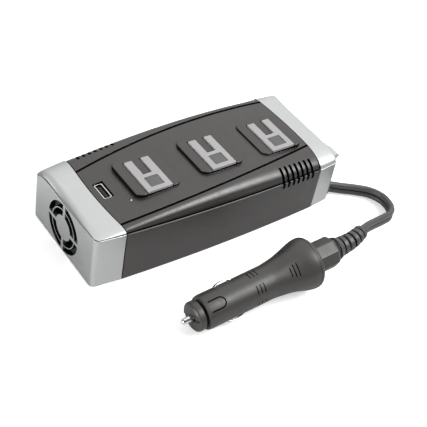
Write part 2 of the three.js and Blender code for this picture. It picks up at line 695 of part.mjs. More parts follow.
const TRANSISTOR = { x: 22, width: 10, thick: 4.4, bottom: 12, top: 21, leg: 0.8, pitch: 2.5 };

function transistor() {
  const { width, thick, bottom, top, leg, pitch } = TRANSISTOR;
  const body = block(0, -thick / 2, width, thick, bottom, top);
  const legs = [-pitch, 0, pitch].map((x) => block(x, -thick / 2, leg, leg, ON_BOARD, bottom + leg));
  return legs.reduce((joined, each) => joined.add(each), body);
}

[1, -1].forEach((side, i) => {
  const turn = side > 0 ? 0 : Math.PI;
  const sink = piece(`heat_sink_${i + 1}`, heatSink(), ALUMINIUM);
  sink.position.y = side * SINK.y;
  sink.rotation.z = turn;
  [-TRANSISTOR.x, TRANSISTOR.x].forEach((x, j) => {
    const device = piece(`transistor_${2 * i + j + 1}`, transistor(), SLEEVE);
    device.position.set(x, side * (SINK.y - SINK.sheet / 2 - GAP), 0);
    device.rotation.z = turn;
  });
});

// The transformer: a core with two windows, and the winding that fills them around its middle leg.
const CORE = { x: -10, width: 32, length: 18, height: 14, leg: 12.4, window: 7.6, yoke: 3 };
const WINDING_END = 4; // how far the winding stands out of the core at each end

function transformerCore() {
  const { x, width, length, height, leg, window, yoke } = CORE;
  let core = block(x, 0, width, length, ON_BOARD, ON_BOARD + height);
  for (const side of [-1, 1]) {
    const middle = x + side * (leg + window) / 2;
    core = core.subtract(block(middle, 0, window, length + 2, ON_BOARD + yoke, ON_BOARD + height - yoke));
  }
  return core;
}

function transformerWinding() {
  const { x, length, height, leg, window, yoke } = CORE;
  const [z0, z1] = [ON_BOARD + yoke + GAP, ON_BOARD + height - yoke - GAP];
  const coil = block(x, 0, leg + 2 * window - 2 * GAP, length + 2 * WINDING_END, z0, z1);
  return coil.subtract(block(x, 0, leg + 2 * GAP, length + 2 * GAP, z0 - 1, z1 + 1));
}

piece('transformer_core', transformerCore(), FERRITE);
piece('transformer_winding', transformerWinding(), COPPER);

const CHOKE = { x: 34, radius: 7.5, thick: 3.2 };
const choke = solid(new THREE.TorusGeometry(CHOKE.radius, CHOKE.thick, 8, 20));
piece('choke', choke.translate([CHOKE.x, 0, ON_BOARD + CHOKE.thick]), COPPER);

const CAPACITORS = [
  { x: -56.6, y: 21, radius: 7.4, height: 24 },
  { x: -56.6, y: -21, radius: 7.4, height: 24 },
  { x: 52, y: 2, radius: 6, height: 13 },
];
const CAN_EDGE = 0.7;

CAPACITORS.forEach(({ x, y, radius, height }, i) => {
  const top = ON_BOARD + height;
  const can = turned([
    [ON_BOARD, 0], [ON_BOARD, radius], [top - CAN_EDGE, radius], [top, radius - CAN_EDGE], [top, 0],
  ], 18);
  piece(`capacitor_${i + 1}`, can.rotate([0, -90, 0]), SLEEVE).position.set(x, y, 0);
});

// ---- Power switch -------------------------------------------------------------------------

function switchBezel() {
  const { y, z, width, height, corner, proud, deep, pocket } = SWITCH;
  const face = CORD_END + GAP;
  const plan = roundedOutline(width, height, corner, 3).map(([a, b]) => [a + y, b + z]);
  const body = SWITCH_BODY;
  const shell = box(face - body.depth, face + 1, y - body.width / 2, y + body.width / 2,
    z - body.height / 2, z + body.height / 2);
  const reach = ROCKER.width / 2 + GAP;
  const hollow = box(face - deep, face + proud + 1, y - reach, y + reach, z - pocket / 2, z + pocket / 2);
  return along(plan, face, face + proud).add(shell).subtract(hollow);
}

// The rocker's side view, x outwards and z up from its pivot: a shallow V with its ends on a circle
// about the pivot, so that it clears the bezel as it tips.
function switchRocker() {
  const { end, crown, dip, round, width } = ROCKER;
  const radius = Math.hypot(end, crown);
  const start = Math.atan2(end, crown);
  const arc = span(start, radians(round), 3).map((a) => [radius * Math.cos(a), radius * Math.sin(a)]);
  const lower = arc.map(([x, z]) => [x, -z]).reverse();
  const dished = [[dip + 0.5, -end / 2], [dip, 0], [dip + 0.5, end / 2]];
  const shape = across([...lower, ...dished, ...arc], -width / 2, width / 2);
  return shape.rotate([0, SWITCH.tilt, 0]).translate([ROCKER.x, SWITCH.y, SWITCH.z]);
}

piece('switch_bezel', switchBezel(), PALE);
piece('switch_rocker', switchRocker(), PALE);

// ---- Cord and its outlet ------------------------------------------------------------------

function cordGrommet() {
  const { y, z, width, height } = OUTLET_OF_CORD;
  const { corner, proud, inside } = GROMMET;
  const plan = roundedOutline(GROMMET.width, GROMMET.height, corner, 3).map(([a, b]) => [a + y, b + z]);
  const flange = along(plan, CORD_END + GAP, CORD_END + proud);
  const reach = width / 2 - GAP;
  const half = height / 2 - GAP;
  return flange.add(box(CORD_END - inside, CORD_END + 1, y - reach, y + reach, z - half, z + half));
}

piece('cord_grommet', cordGrommet(), RUBBER);

const curveThrough = (points) =>
  new THREE.CatmullRomCurve3(points.map((point) => new THREE.Vector3(...point)));

// Two round conductors side by side: the long way of the section stands upright.
function cordLead() {
  const { height, thick } = CORD;
  const r = thick / 2;
  const c = height / 2 - r;
  const k = r * Math.SQRT1_2;
  const [waist, side] = [0.72 * r, 0.94 * r];
  const half = [[0, -waist], [c - k, -side], [c + k, -k], [c + r, 0], [c + k, k], [c - k, side]];
  const section = [...half, ...half.map(([a, b]) => [-a, -b])];
  const geometry = new THREE.ExtrudeGeometry(outline(section), {
    steps: CORD.steps, extrudePath: curveThrough(CORD_ROUTE), bevelEnabled: false,
  });
  return solid(geometry);
}

piece('cord_lead', cordLead(), RUBBER);

// ---- Plug ---------------------------------------------------------------------------------

const plug = new THREE.Group();
plug.position.set(PLUG_AT.x, PLUG_AT.y, RIM_RADIUS * Math.cos(PLUG_TILT) + PLUG_AT.lift);
plug.rotation.y = -PLUG_TILT;
part.add(plug);

// The handle's outline flares from the barrel to the head along a smooth curve.
const NECK_RADIUS = RIM_RADIUS + 0.3;
const handleRadius = (x) => THREE.MathUtils.lerp(
  NECK_RADIUS, HEAD_RADIUS, THREE.MathUtils.smoothstep(x, WAIST_AT, HEAD_AT));

function plugBody() {
  const profile = [[0, BORE.radius], [0, RIM_RADIUS - 0.6], [0.8, RIM_RADIUS], [WAIST_AT, NECK_RADIUS]];
  for (const x of span(WAIST_AT + 2, HEAD_AT, 9)) {
    profile.push([x, handleRadius(x)]);
  }
  profile.push([80, HEAD_RADIUS - 0.7], [81.3, HEAD_RADIUS - 3.2], [81.3, 0], [BORE.end, 0],
    [BORE.end, BORE.radius]);
  let body = turned(profile, 28);
  const { first, last, width } = CONTACT;
  const reach = width / 2 + GAP;
  for (const angle of CONTACT_ANGLES) {
    const slot = box(first - 2 * GAP, last + 2 * GAP, BORE.radius - 1, HEAD_RADIUS, -reach, reach);
    body = body.subtract(slot.rotate([angle, 0, 0]));
  }
  return body;
}

piece('plug_body', plugBody(), RUBBER, plug);

function plugNose() {
  const nose = turned([
    [-7, 2.6], [-7, 7.6], [-6, 9], [-5, 9.4], [-1.6, 9.4], [-1.6, 5.9], [4, 5.9], [4, 4.8],
    [-5, 4.8], [-5, 2.6],
  ], 24);
  const { angle, width, floor } = COIN_SLOT;
  const slot = box(floor - OVERRUN, floor, -RIM_RADIUS, RIM_RADIUS, -width / 2, width / 2);
  return nose.subtract(slot.rotate([angle, 0, 0]));
}

piece('plug_nose', plugNose(), RUBBER, plug);

function plugTip() {
  return turned([
    [-13.4, 0], [-13.2, 0.9], [-12.6, 1.5], [-11.6, 1.8], [-7.5, 2.2], [-4.7, 2.2], [-4.7, 4.3],
    [-3, 4.3], [-3, 3.3], [2, 3.3], [2, 0],
  ], 20);
}

piece('plug_tip', plugTip(), CHROME, plug);
piece('plug_fuse', bar(FUSE.start, FUSE.start + FUSE.length, 0, 0, FUSE.radius, 16), GLASS, plug);

// The spring behind the fuse, drawn closed up, as it is with the tip pressed in.
function plugSpring() {
  const { start, turns, pitch, inner, valley, crest, end } = SPRING;
  const profile = [[start, inner]];
  for (let turn = 0; turn < turns; turn += 1) {
    const x = start + turn * pitch;
    profile.push([x, valley], [x + pitch / 2, crest]);
  }
  profile.push([end, valley], [end, inner]);
  return turned(profile, 16);
}

piece('plug_spring', plugSpring(), STEEL, plug);

// A side contact: a bowed leaf that stands out of its slot in the barrel.
function sideContact() {
  const { first, last, peak, foot, sheet, width } = CONTACT;
  const bow = (lift) => span(0, 180, 8).map((a) => [
    (first + last) / 2 - (last - first) / 2 * Math.cos(radians(a)),
    foot + lift + (peak - sheet - foot) * Math.sin(radians(a)) ** 0.8,
  ]);
  return across([...bow(0), ...bow(sheet).reverse()], -width / 2, width / 2).rotate([-90, 0, 0]);
}

CONTACT_ANGLES.forEach((angle, i) => {
  piece(`plug_contact_${i + 1}`, sideContact().rotate([angle, 0, 0]), CHROME, plug);
});

// An eight-sided collar, chamfered where the boot begins.
function plugCollar() {
  const { start, end, radius, chamfer } = COLLAR;
  return turned([[start, 0], [start, radius], [end - chamfer, radius], [end, radius - chamfer], [end, 0]], 8);
}

piece('plug_collar', plugCollar(), RUBBER, plug);

// The ribbed boot bends from the collar's axis towards the cord, and narrows on the way.
function plugBoot() {
  plug.updateMatrixWorld();
  const start = new THREE.Vector3(COLLAR.end + GAP, 0, 0).applyMatrix4(plug.matrixWorld);
  const path = curveThrough([start.toArray(), ...BOOT_ROUTE]);
  const { ribs, first, pitch, taper, sides } = BOOT;
  const steps = [[0, 7.9], [0.06, 7.6], [0.15, 6.4]];
  for (let i = 0; i < ribs; i += 1) {
    const at = first + i * pitch;
    const radius = BOOT.radius - i * taper;
    steps.push([at, radius - 1], [at + 0.02, radius], [at + 0.11, radius], [at + 0.13, radius - 1]);
  }
  steps.push([1, 4.4]);
  const rings = steps.map(([t, radius]) => {
    const middle = path.getPointAt(t);
    const forward = path.getTangentAt(t);
    const side = new THREE.Vector3(0, 0, 1).cross(forward).normalize();
    const up = forward.clone().cross(side);
    return span(0, 2 * Math.PI, sides).slice(0, sides).map((a) => middle.clone()
      .addScaledVector(side, -radius * Math.cos(a)).addScaledVector(up, radius * Math.sin(a)));
  });
  return loft(rings);
}

piece('plug_boot', plugBoot(), RUBBER);

export default part;
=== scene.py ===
"""The power inverter's looks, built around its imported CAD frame.

X runs along the case from the fan end to the cord end, Y from the front to the back, Z up. Shapes are
made in millimetres, and piece() turns them into metres and hands them to the frame.
"""

import json
import math
from types import SimpleNamespace as Sizes

import bmesh
import bpy
from mathutils import Matrix, Vector


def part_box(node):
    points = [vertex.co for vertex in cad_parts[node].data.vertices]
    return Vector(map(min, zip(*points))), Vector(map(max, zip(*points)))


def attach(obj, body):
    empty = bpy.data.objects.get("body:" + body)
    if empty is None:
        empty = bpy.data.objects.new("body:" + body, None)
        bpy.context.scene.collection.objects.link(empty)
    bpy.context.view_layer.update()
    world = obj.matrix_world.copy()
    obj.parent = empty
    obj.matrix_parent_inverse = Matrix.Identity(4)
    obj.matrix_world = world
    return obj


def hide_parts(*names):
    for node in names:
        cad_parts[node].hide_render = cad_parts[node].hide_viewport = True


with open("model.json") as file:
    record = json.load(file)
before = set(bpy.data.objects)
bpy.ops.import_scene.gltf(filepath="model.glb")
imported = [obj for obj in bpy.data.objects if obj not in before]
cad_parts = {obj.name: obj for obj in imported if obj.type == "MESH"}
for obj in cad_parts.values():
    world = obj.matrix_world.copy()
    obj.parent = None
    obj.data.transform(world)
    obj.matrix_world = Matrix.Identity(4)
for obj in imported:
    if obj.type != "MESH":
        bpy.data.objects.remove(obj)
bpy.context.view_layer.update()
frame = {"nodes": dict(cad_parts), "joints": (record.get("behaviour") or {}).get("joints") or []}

MM = 0.001
SCENE = bpy.context.scene


def box_of(node):
    """Lowest and highest corner of a CAD node, in millimetres."""
    low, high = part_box(node)
    return low / MM, high / MM


def middle_of(node):
    low, high = box_of(node)
    return (low + high) / 2


def joint_of(name):
    return next(joint for joint in frame["joints"] if joint["name"] == name)


# ---- Camera: at the photograph's viewing angle ----

AZIMUTH = math.radians(-42.646)
ELEVATION = math.radians(41.944)
ROLL = math.radians(11.607)
LOOK_AT = Vector((0.0241, 0, -0.0181))
DISTANCE = 0.6842
FOCAL_LENGTH = 83.5


def make_camera():
    camera = bpy.data.objects.new("camera", bpy.data.cameras.new("camera"))
    SCENE.collection.objects.link(camera)
    right = Vector((math.cos(AZIMUTH), math.sin(AZIMUTH), 0))
    flat = Vector((math.sin(AZIMUTH), -math.cos(AZIMUTH), 0))
    back = flat * math.cos(ELEVATION) + Vector((0, 0, math.sin(ELEVATION)))
    up = back.cross(right)
    turned_right = right * math.cos(ROLL) + up * math.sin(ROLL)
    turned_up = up * math.cos(ROLL) - right * math.sin(ROLL)
    rotation = Matrix((turned_right, turned_up, back)).transposed()
    camera.matrix_world = Matrix.Translation(LOOK_AT + back * DISTANCE) @ rotation.to_4x4()
    camera.data.lens = FOCAL_LENGTH
    camera.data.sensor_width = 36
    camera.data.clip_start = 0.01
    SCENE.camera = camera


make_camera()

# ---- Mesh helpers ----

# While a shape is being cut, slot 0 is its own material and slot 1 a dark one that paints shade
# into gaps, slots, grooves, holes and walls.
HOLDERS = [bpy.data.materials.new("own"), bpy.data.materials.new("dark")]


def shape(name, points, faces, dark=()):
    """A closed mesh in millimetres. dark is the set of faces that take the second material, on most pieces
    a painted shade.
    """
    mesh = bpy.data.meshes.new(name)
    mesh.from_pydata([tuple(p) for p in points], [], faces)
    for holder in HOLDERS:
        mesh.materials.append(holder)
    for index in dark:
        mesh.polygons[index].material_index = 1
    work = bmesh.new()
    work.from_mesh(mesh)
    bmesh.ops.remove_doubles(work, verts=work.verts, dist=1e-4)
    loose = [edge for edge in work.edges if not edge.link_faces]
    bmesh.ops.delete(work, geom=loose, context="EDGES")
    bmesh.ops.recalc_face_normals(work, faces=work.faces)
    work.to_mesh(mesh)
    work.free()
    obj = bpy.data.objects.new(name, mesh)
    SCENE.collection.objects.link(obj)
    return obj


def loft(name, rings, ring_closed=True, around=False, dark_strips=(), dark_rows=(), dark_ends=False,
         dark=False):
    """A skin through rings of points. around joins the last ring to the first."""
    count = len(rings[0])
    faces, marked = [], []
    pairs = list(zip(range(len(rings) - 1), range(1, len(rings))))
    if around:
        pairs.append((len(rings) - 1, 0))
    for a, b in pairs:
        for j in range(count if ring_closed else count - 1):
            k = (j + 1) % count
            # a marked face takes the second material, on most pieces a painted shade
            if dark or j in dark_strips or a in dark_rows:
                marked.append(len(faces))
            faces.append((a * count + j, a * count + k, b * count + k, b * count + j))
    if not around:
        for row in (0, len(rings) - 1):
            if dark or dark_ends:
                marked.append(len(faces))
            faces.append(tuple(row * count + j for j in range(count)))
    return shape(name, [p for ring in rings for p in ring], faces, marked)


def block(name, low, high, dark=False):
    rings = [[(x, low[1], low[2]), (x, high[1], low[2]), (x, high[1], high[2]), (x, low[1], high[2])]
             for x in (low[0], high[0])]
    return loft(name, rings, dark=dark)


def bar(name, middle, size, x0, x1, dark=False):
    """A block from x0 to x1, of a width and height, round the Y and Z of a point."""
    y, z = size[0] / 2, size[1] / 2
    return block(name, (x0, middle.y - y, middle.z - z), (x1, middle.y + y, middle.z + z), dark)


def raised(name, outline, z0, z1, dark=False):
    """An XY outline pushed up."""
    return loft(name, [[(x, y, z) for x, y in outline] for z in (z0, z1)], dark=dark)


def along(name, outline, x0, x1, dark=False):
    """A YZ outline pushed along X."""
    return loft(name, [[(x, y, z) for y, z in outline] for x in (x0, x1)], dark=dark)


def across(name, outline, y0, y1, dark=False):
    """An XZ outline pushed along Y."""
    return loft(name, [[(x, y, z) for x, z in outline] for y in (y0, y1)], dark=dark)


def lathe(name, profile, sides, dark=False, bend=None):
    """A body turned about X from [x, radius] points. bend(x, angle) scales the radius."""
    rings = []
    for i in range(sides):
        angle = 2 * math.pi * i / sides
        factor = bend or (lambda x, a: 1)
        rings.append([(x, r * factor(x, angle) * math.cos(angle), r * factor(x, angle) * math.sin(angle))
                      for x, r in profile])
    return loft(name, rings, ring_closed=profile[0][1] > 0, around=True, dark=dark)


def steps(start, end, count):
    return [start + (end - start) * i / count for i in range(count + 1)]


def arc(centre_a, centre_b, radius, start, end, count):
    """Points on an arc, angles in degrees."""
    return [(centre_a + radius * math.cos(math.radians(t)), centre_b + radius * math.sin(math.radians(t)))
            for t in steps(start, end, count)]


def circle(centre_a, centre_b, radius, count=24):
    return arc(centre_a, centre_b, radius, 0, 360, count)[:-1]


def rounded(width, height, radius, count=6):
    """A rectangle with round corners, centred, anticlockwise."""
    a, b = width / 2 - radius, height / 2 - radius
    return (arc(a, b, radius, 0, 90, count) + arc(-a, b, radius, 90, 180, count)
            + arc(-a, -b, radius, 180, 270, count) + arc(a, -b, radius, 270, 360, count))


def eased(t):
    """t from 0 to 1, with a soft start and end."""
    return t * t * (3 - 2 * t)


def shifted(outline, a, b):
    return [(p + a, q + b) for p, q in outline]


def baked(obj):
    """obj with its modifiers applied."""
    graph = bpy.context.evaluated_depsgraph_get()
    mesh = bpy.data.meshes.new_from_object(obj.evaluated_get(graph))
    obj.modifiers.clear()
    old, obj.data = obj.data, mesh
    bpy.data.meshes.remove(old)
    return obj


def combine(obj, tools, operation):
    for tool in tools:
        modifier = obj.modifiers.new(tool.name, "BOOLEAN")
        modifier.operation = operation
        modifier.solver = "MANIFOLD"
        modifier.object = tool
    baked(obj)
    for tool in tools:
        bpy.data.meshes.remove(tool.data)
    return obj


def cut(obj, *tools):
    return combine(obj, tools, "DIFFERENCE")


def add(obj, *tools):
    return combine(obj, tools, "UNION")


def placed(obj, matrix):
    obj.data.transform(matrix)
    return obj


def turned(axis, degrees):
    return Matrix.Rotation(math.radians(degrees), 4, axis)


def moved(x, y, z):
    return Matrix.Translation((x, y, z))


def softened(obj, width, segments, angle=32):
    """Rounds the sharp edges."""
    work = bmesh.new()
    work.from_mesh(obj.data)
    bmesh.ops.remove_doubles(work, verts=work.verts, dist=0.004)
    work.to_mesh(obj.data)
    work.free()
    modifier = obj.modifiers.new("bevel", "BEVEL")
    modifier.width = width
    modifier.segments = segments
    modifier.limit_method = "ANGLE"
    modifier.angle_limit = math.radians(angle)
    modifier.use_clamp_overlap = False
    return baked(obj)


def piece(obj, own, body, stands_for=(), dark=None, flat_above=50):
    """Finishes a shape: metres, smooth shading, materials, and its place in the frame."""
    obj.data.transform(Matrix.Scale(MM, 4))
    obj.data.shade_smooth()
    obj.data.set_sharp_from_angle(angle=math.radians(flat_above))
    weighted = obj.modifiers.new("weighted", "WEIGHTED_NORMAL")
    weighted.keep_sharp = True
    baked(obj)
    obj.data.materials[0] = own
    # slot 1 takes the dark material, on most pieces the painted shade
    obj.data.materials[1] = dark or own
    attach(obj, body)
    if stands_for:
        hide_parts(*stands_for)


# ---- Materials ----

def new_node(tree, kind):
    return tree.nodes.new(f"ShaderNode{kind}")


class Nodes:
    """A short way to build one material's nodes."""

    def __init__(self, name, color, roughness, metallic=0.0, **sockets):
        self.material = bpy.data.materials.new(name)
        self.material.use_nodes = True
        self.tree = self.material.node_tree
        self.shader = self.tree.nodes["Principled BSDF"]
        self.color = (*color, 1)
        self.shader.inputs["Base Color"].default_value = self.color
        self.shader.inputs["Roughness"].default_value = roughness
        self.shader.inputs["Metallic"].default_value = metallic
        for socket, value in sockets.items():
            self.shader.inputs[socket.replace("_", " ")].default_value = value
        self.place = new_node(self.tree, "TexCoord").outputs["Object"]

    def noise(self, scale, detail, stretch=None):
        texture = new_node(self.tree, "TexNoise")
        texture.inputs["Scale"].default_value = scale
        texture.inputs["Detail"].default_value = detail
        place = self.place
        if stretch:
            mapping = new_node(self.tree, "Mapping")
            mapping.inputs["Scale"].default_value = stretch
            self.tree.links.new(place, mapping.inputs["Vector"])
            place = mapping.outputs["Vector"]
        self.tree.links.new(place, texture.inputs["Vector"])
        return texture.outputs["Fac"]

    def ramp(self, value, low, high):
        """value, from 0.3 to 0.7, spread from low to high, which are numbers or colours."""
        ramp = new_node(self.tree, "ValToRGB")
        ends = [v if isinstance(v, tuple) else (v, v, v, 1) for v in (low, high)]
        for element, place, color in zip(ramp.color_ramp.elements, (0.3, 0.7), ends):
            element.position = place
            element.color = color
        self.tree.links.new(value, ramp.inputs["Fac"])
        return ramp.outputs["Color"]

    def tinted(self, amount, scale):
        """Lets the colour wander by a share of itself."""
        low = tuple(c * (1 - amount) for c in self.color[:3]) + (1,)
        high = tuple(min(1, c * (1 + amount)) for c in self.color[:3]) + (1,)
        color = self.ramp(self.noise(scale, 4.0), low, high)
        self.tree.links.new(color, self.shader.inputs["Base Color"])

    def glossed(self, low, high, scale, stretch=None):
        self.tree.links.new(self.ramp(self.noise(scale, 3.0, stretch), low, high),
                            self.shader.inputs["Roughness"])

    def grained(self, strength, scale, depth=0.00004, stretch=None):
        bump = new_node(self.tree, "Bump")
        bump.inputs["Strength"].default_value = strength
        bump.inputs["Distance"].default_value = depth
        self.tree.links.new(self.noise(scale, 2.0, stretch), bump.inputs["Height"])
        self.tree.links.new(bump.outputs["Normal"], self.shader.inputs["Normal"])


def moulded(name, color, low, high, grain=0.25, grain_scale=3200, tint=0.05, **sockets):
    """Moulded plastic: a fine spark-eroded grain, and gloss and colour that wander a little."""
    nodes = Nodes(name, color, low, **sockets)
    nodes.tinted(tint, 60)
    nodes.glossed(low, high, 220)
    nodes.grained(grain, grain_scale)
    return nodes.material


def metal(name, color, low, high, stretch=None, **sockets):
    nodes = Nodes(name, color, low, 1.0, **sockets)
    nodes.tinted(0.04, 90)
    nodes.glossed(low, high, 500, stretch)
    nodes.grained(0.12, 1500, 0.00002, stretch)
    return nodes.material


def silver_paint():
    """Satin silver paint on plastic: part metallic, with a very fine sparkle in it."""
    nodes = Nodes("silver_paint", (0.6, 0.615, 0.605), 0.39, 0.93, Coat_Weight=0.2, Coat_Roughness=0.15)
    nodes.tinted(0.035, 5200)
    nodes.glossed(0.36, 0.42, 150)
    nodes.grained(0.12, 4200, 0.00002)
    return nodes.material


CASE = moulded("case_black", (0.026, 0.0228, 0.0212), 0.32, 0.4, Specular_IOR_Level=0.85)
# SHADOW is painted shade: near-black and barely glossy, put on groove floors, slot, hole and pad walls and
# seams, where shade falls.
SHADOW = moulded("painted_shade_black", (0.003, 0.003, 0.003), 0.8, 0.9, Specular_IOR_Level=0.08)
SILVER = silver_paint()
COVER = moulded("cover_grey", (0.4, 0.392, 0.395), 0.42, 0.5, 0.3, 2600, 0.04)
THUMB = moulded("thumb_grey", (0.125, 0.122, 0.125), 0.5, 0.6, 0.5, 2200, 0.06)
SOCKET = moulded("socket_black", (0.012, 0.012, 0.012), 0.45, 0.55)
PLUG_BLACK = moulded("plug_black", (0.04, 0.038, 0.036), 0.38, 0.48, 0.35, 2400, Specular_IOR_Level=0.7)
CORD = moulded("cord_black", (0.058, 0.057, 0.056), 0.38, 0.48, 0.3, 1800, Specular_IOR_Level=0.7)
PALE = moulded("pale_plastic", (0.56, 0.56, 0.555), 0.3, 0.38, 0.15, 2600, 0.03)
LENS = moulded("lamp_lens", (0.42, 0.38, 0.36), 0.12, 0.2, 0.05, 2600, 0.03, Coat_Weight=0.8)
CHROME = metal("chrome", (0.88, 0.88, 0.88), 0.08, 0.16)
STEEL = metal("plated_steel", (0.62, 0.62, 0.61), 0.22, 0.34, (1, 1, 0.15))
BRASS = metal("brass", (0.6, 0.44, 0.17), 0.25, 0.38)
ALUMINIUM = metal("aluminium", (0.66, 0.67, 0.68), 0.3, 0.45, (0.08, 1, 1))
BOARD = moulded("board_green", (0.02, 0.11, 0.045), 0.32, 0.42, 0.4, 900, 0.2)
FERRITE = moulded("ferrite", (0.024, 0.024, 0.026), 0.6, 0.75, 0.8, 1400, 0.1)
COPPER = metal("enamelled_copper", (0.62, 0.25, 0.1), 0.22, 0.34, (1, 6, 1))
SLEEVE = moulded("sleeve", (0.016, 0.02, 0.03), 0.28, 0.4)
GLASS = moulded("fuse_glass", (0.8, 0.86, 0.86), 0.05, 0.1, 0.02, 900, 0.02, Transmission_Weight=0.8)

# ---- The case's surfaces ----

tub_high = box_of("bottom_tub")[1]
GAP = 0.3
SEAM = tub_high.x + GAP / 2
FAN_END = -box_of("fan_end_cap")[0].x
CORD_END = box_of("cord_end_cap")[1].x
SIDE_BULGE = 2
HALF_WIDTH_AT_SEAM = tub_high.y - SIDE_BULGE
HALF_WIDTH_AT_END = HALF_WIDTH_AT_SEAM - 2
CORNER_RADIUS = 3
EDGE_RADIUS = 1.2
CREASE_HEIGHT = 35.6
CREASE_RISE = 2.2
PANEL_HEIGHT = 40.4
PANEL_ARCH = 3
GROOVE = 0.85
FAN_ROLL = 5
CORD_ROLL = 1.2
SWELL = Sizes(rise=3.6, at=0.2, sharp=2.5)  # hump in the end face's top edge at the fan end
BOW = Sizes(out=2.2, half=36)  # the seams across the top stand out at the middle
WALL = 2.2
BEYOND = 60  # further to either side, or higher, than any part of the case
HOLLOW = 30  # a height in the hollow of the case, under the skin of the top
SEAM_GAP = 0.5  # the seam between the case and a cap, seen from outside; its cut faces take painted shade
# The bright rim of the tub, and the slot beside it, painted with shade to look dark.
RIM = Sizes(width=0.95, depth=1.6, round=0.65, slot=0.75)
CAP_STEP = 0.7  # how far a cap's shoulders stand inside its side walls
CAP_SLOT = 0.35  # height of the slot between a cap's walls and its top, painted with shade so that it shows as a dark line
CAP_JOIN = 24  # bottom of a cap's top, inside its side walls


def end_of(x):
    return FAN_END if x < 0 else CORD_END


def roll_of(x):
    return FAN_ROLL if x < 0 else CORD_ROLL


def half_width(x):
    reach = abs(x)
    if reach <= SEAM:
        return HALF_WIDTH_AT_SEAM + SIDE_BULGE * (1 - (x / SEAM) ** 2)
    end = end_of(x)
    share = (reach - SEAM) / (end - SEAM)
    straight = HALF_WIDTH_AT_SEAM + (HALF_WIDTH_AT_END - HALF_WIDTH_AT_SEAM) * share
    into = max(0, reach - end + CORNER_RADIUS)
    return straight - CORNER_RADIUS + math.sqrt(max(0, CORNER_RADIUS ** 2 - into ** 2))


def crease_height(x, side):
    """side is 1 at the back and -1 at the front."""
    return CREASE_HEIGHT + side * CREASE_RISE * x / SEAM


def panel_height(x):
    return PANEL_HEIGHT + PANEL_ARCH * (1 - (x / SEAM) ** 2)


def panel_reach(x, side):
    """How far the panel reaches from the middle: 31 mm at one end of a side and 19.5 mm at the other."""
    t = (SEAM - side * x) / (2 * SEAM)
    return 31 + 5 * t - 16.5 * t ** 2


def into_roll(x):
    """How far x is into the rounded end of a cap's top, from 0 to 1."""
    return min(1, max(0, (abs(x) - end_of(x) + CAP_STEP) / roll_of(x) + 1))


def ledge(x, y):
    """Height at y of the line where a cap's walls end and its top begins."""
    w = half_width(x)
    back, front = crease_height(x, 1), crease_height(x, -1)
    straight = back + (front - back) * (w - y) / (2 * w)
    if x > 0:
        return straight
    u = max(0, HALF_WIDTH_AT_END - y) / (2 * HALF_WIDTH_AT_END * SWELL.at)
    return straight + SWELL.rise * (u * math.exp(1 - u)) ** SWELL.sharp * into_roll(x) ** 2


def shoulder(x, side, out, start, count=16):
    """Points from the crease, at (out, start), up to the panel's edge and into the groove beside it."""
    reach = panel_reach(x, side)
    edge = reach + 2 * GROOVE
    top = panel_height(x)
    points = [(edge + (out - edge) * math.cos(t), start + (top - start) * math.sin(t))
              for t in steps(0, math.pi / 2, count)]
    points += [(reach + 1.7 * GROOVE, top - 1.6 * GROOVE), (reach + GROOVE, top - 1.8 * GROOVE),
               (reach + 0.3 * GROOVE, top - 1.6 * GROOVE), (reach, top)]
    return [(side * a, b) for a, b in points]


def seam_curve(past):
    """The bowed seam across the top, a distance past where it would be if it were straight."""
    return [(SEAM + past + BOW.out * (1 - (y / BOW.half) ** 2), y)
            for y in steps(-BOW.half, BOW.half, 36)]


def beyond_seam(name, turn):
    inner, outer = SEAM - SEAM_GAP / 2, CORD_END
    plan = [(inner, -BEYOND)] + seam_curve(-SEAM_GAP / 2)
    plan += [(inner, BEYOND), (outer, BEYOND), (outer, -BEYOND)]
    # the faces this cuts take painted shade
    return placed(raised(name, plan, 0, BEYOND, True), turned("Z", turn))


def inside_seam(name, turn):
    half = BOW.half
    plan = seam_curve(SEAM_GAP / 2) + [(SEAM - 5, half), (SEAM - 5, -half)]
    return placed(raised(name, plan, HOLLOW, BEYOND, True), turned("Z", turn))


# ---- Vents ----

VENT = Sizes(first=43.0, pitch=4.2, count=7, width=1.9, reach=8.6, drop=4.2)


def vent_cutters(name):
    """Slots over the crease: at the front of the cord end, and at the opposite corner. Their walls take
    painted shade.
    """
    half = VENT.width / 2
    cutters = []
    for turn in (0, 180):
        for i in range(VENT.count):
            x = VENT.first + i * VENT.pitch
            outer = half_width(x) + 1
            inner = half_width(x) - VENT.reach
            bottom = crease_height(x, -1) - VENT.drop
            plan = [(x - half, -outer), (x + half, -outer)] + arc(x, -inner - half, half, 0, 180, 8)
            cutter = raised(f"{name}_{len(cutters)}", plan, bottom + half, BEYOND, True)
            foot = across(f"{name}_{len(cutters)}_foot", arc(x, bottom + half, half, 180, 360, 8)
                          + [(x + half, bottom + half + 0.1), (x - half, bottom + half + 0.1)],
                          -outer, -inner - half, True)
            add(cutter, foot)
            cutters.append(placed(cutter, turned("Z", turn)))
    return cutters


# ---- Tub ----

PARTING = 17.5  # height of the faint moulding line along the walls
PARTING_RISE = 0.07


def tub_section(x):
    w = half_width(x)
    wall = []
    for side in (1, -1):
        c = crease_height(x, side)
        points = [(w - WALL, c - RIM.depth), (w - RIM.width, c - RIM.depth),
                  (w - RIM.width, c - 0.12), (w - RIM.width + 0.12, c)]
        points += arc(w - RIM.round, c - RIM.round, RIM.round, 90, 0, 5)
        ridge = w + PARTING_RISE
        points += [(w, PARTING + 0.3), (ridge, PARTING + 0.06), (ridge, PARTING - 0.06), (w, PARTING - 0.3)]
        points += arc(w - EDGE_RADIUS, EDGE_RADIUS, EDGE_RADIUS, 0, -90, 6)
        wall.append([(side * a, b) for a, b in points])
    inside = [(-w + WALL, WALL + 1), (-w + WALL + 1, WALL), (w - WALL - 1, WALL), (w - WALL, WALL + 1)]
    return wall[0] + wall[1][::-1] + inside


def ring_at(x, section):
    return [(x, y, z) for y, z in section]


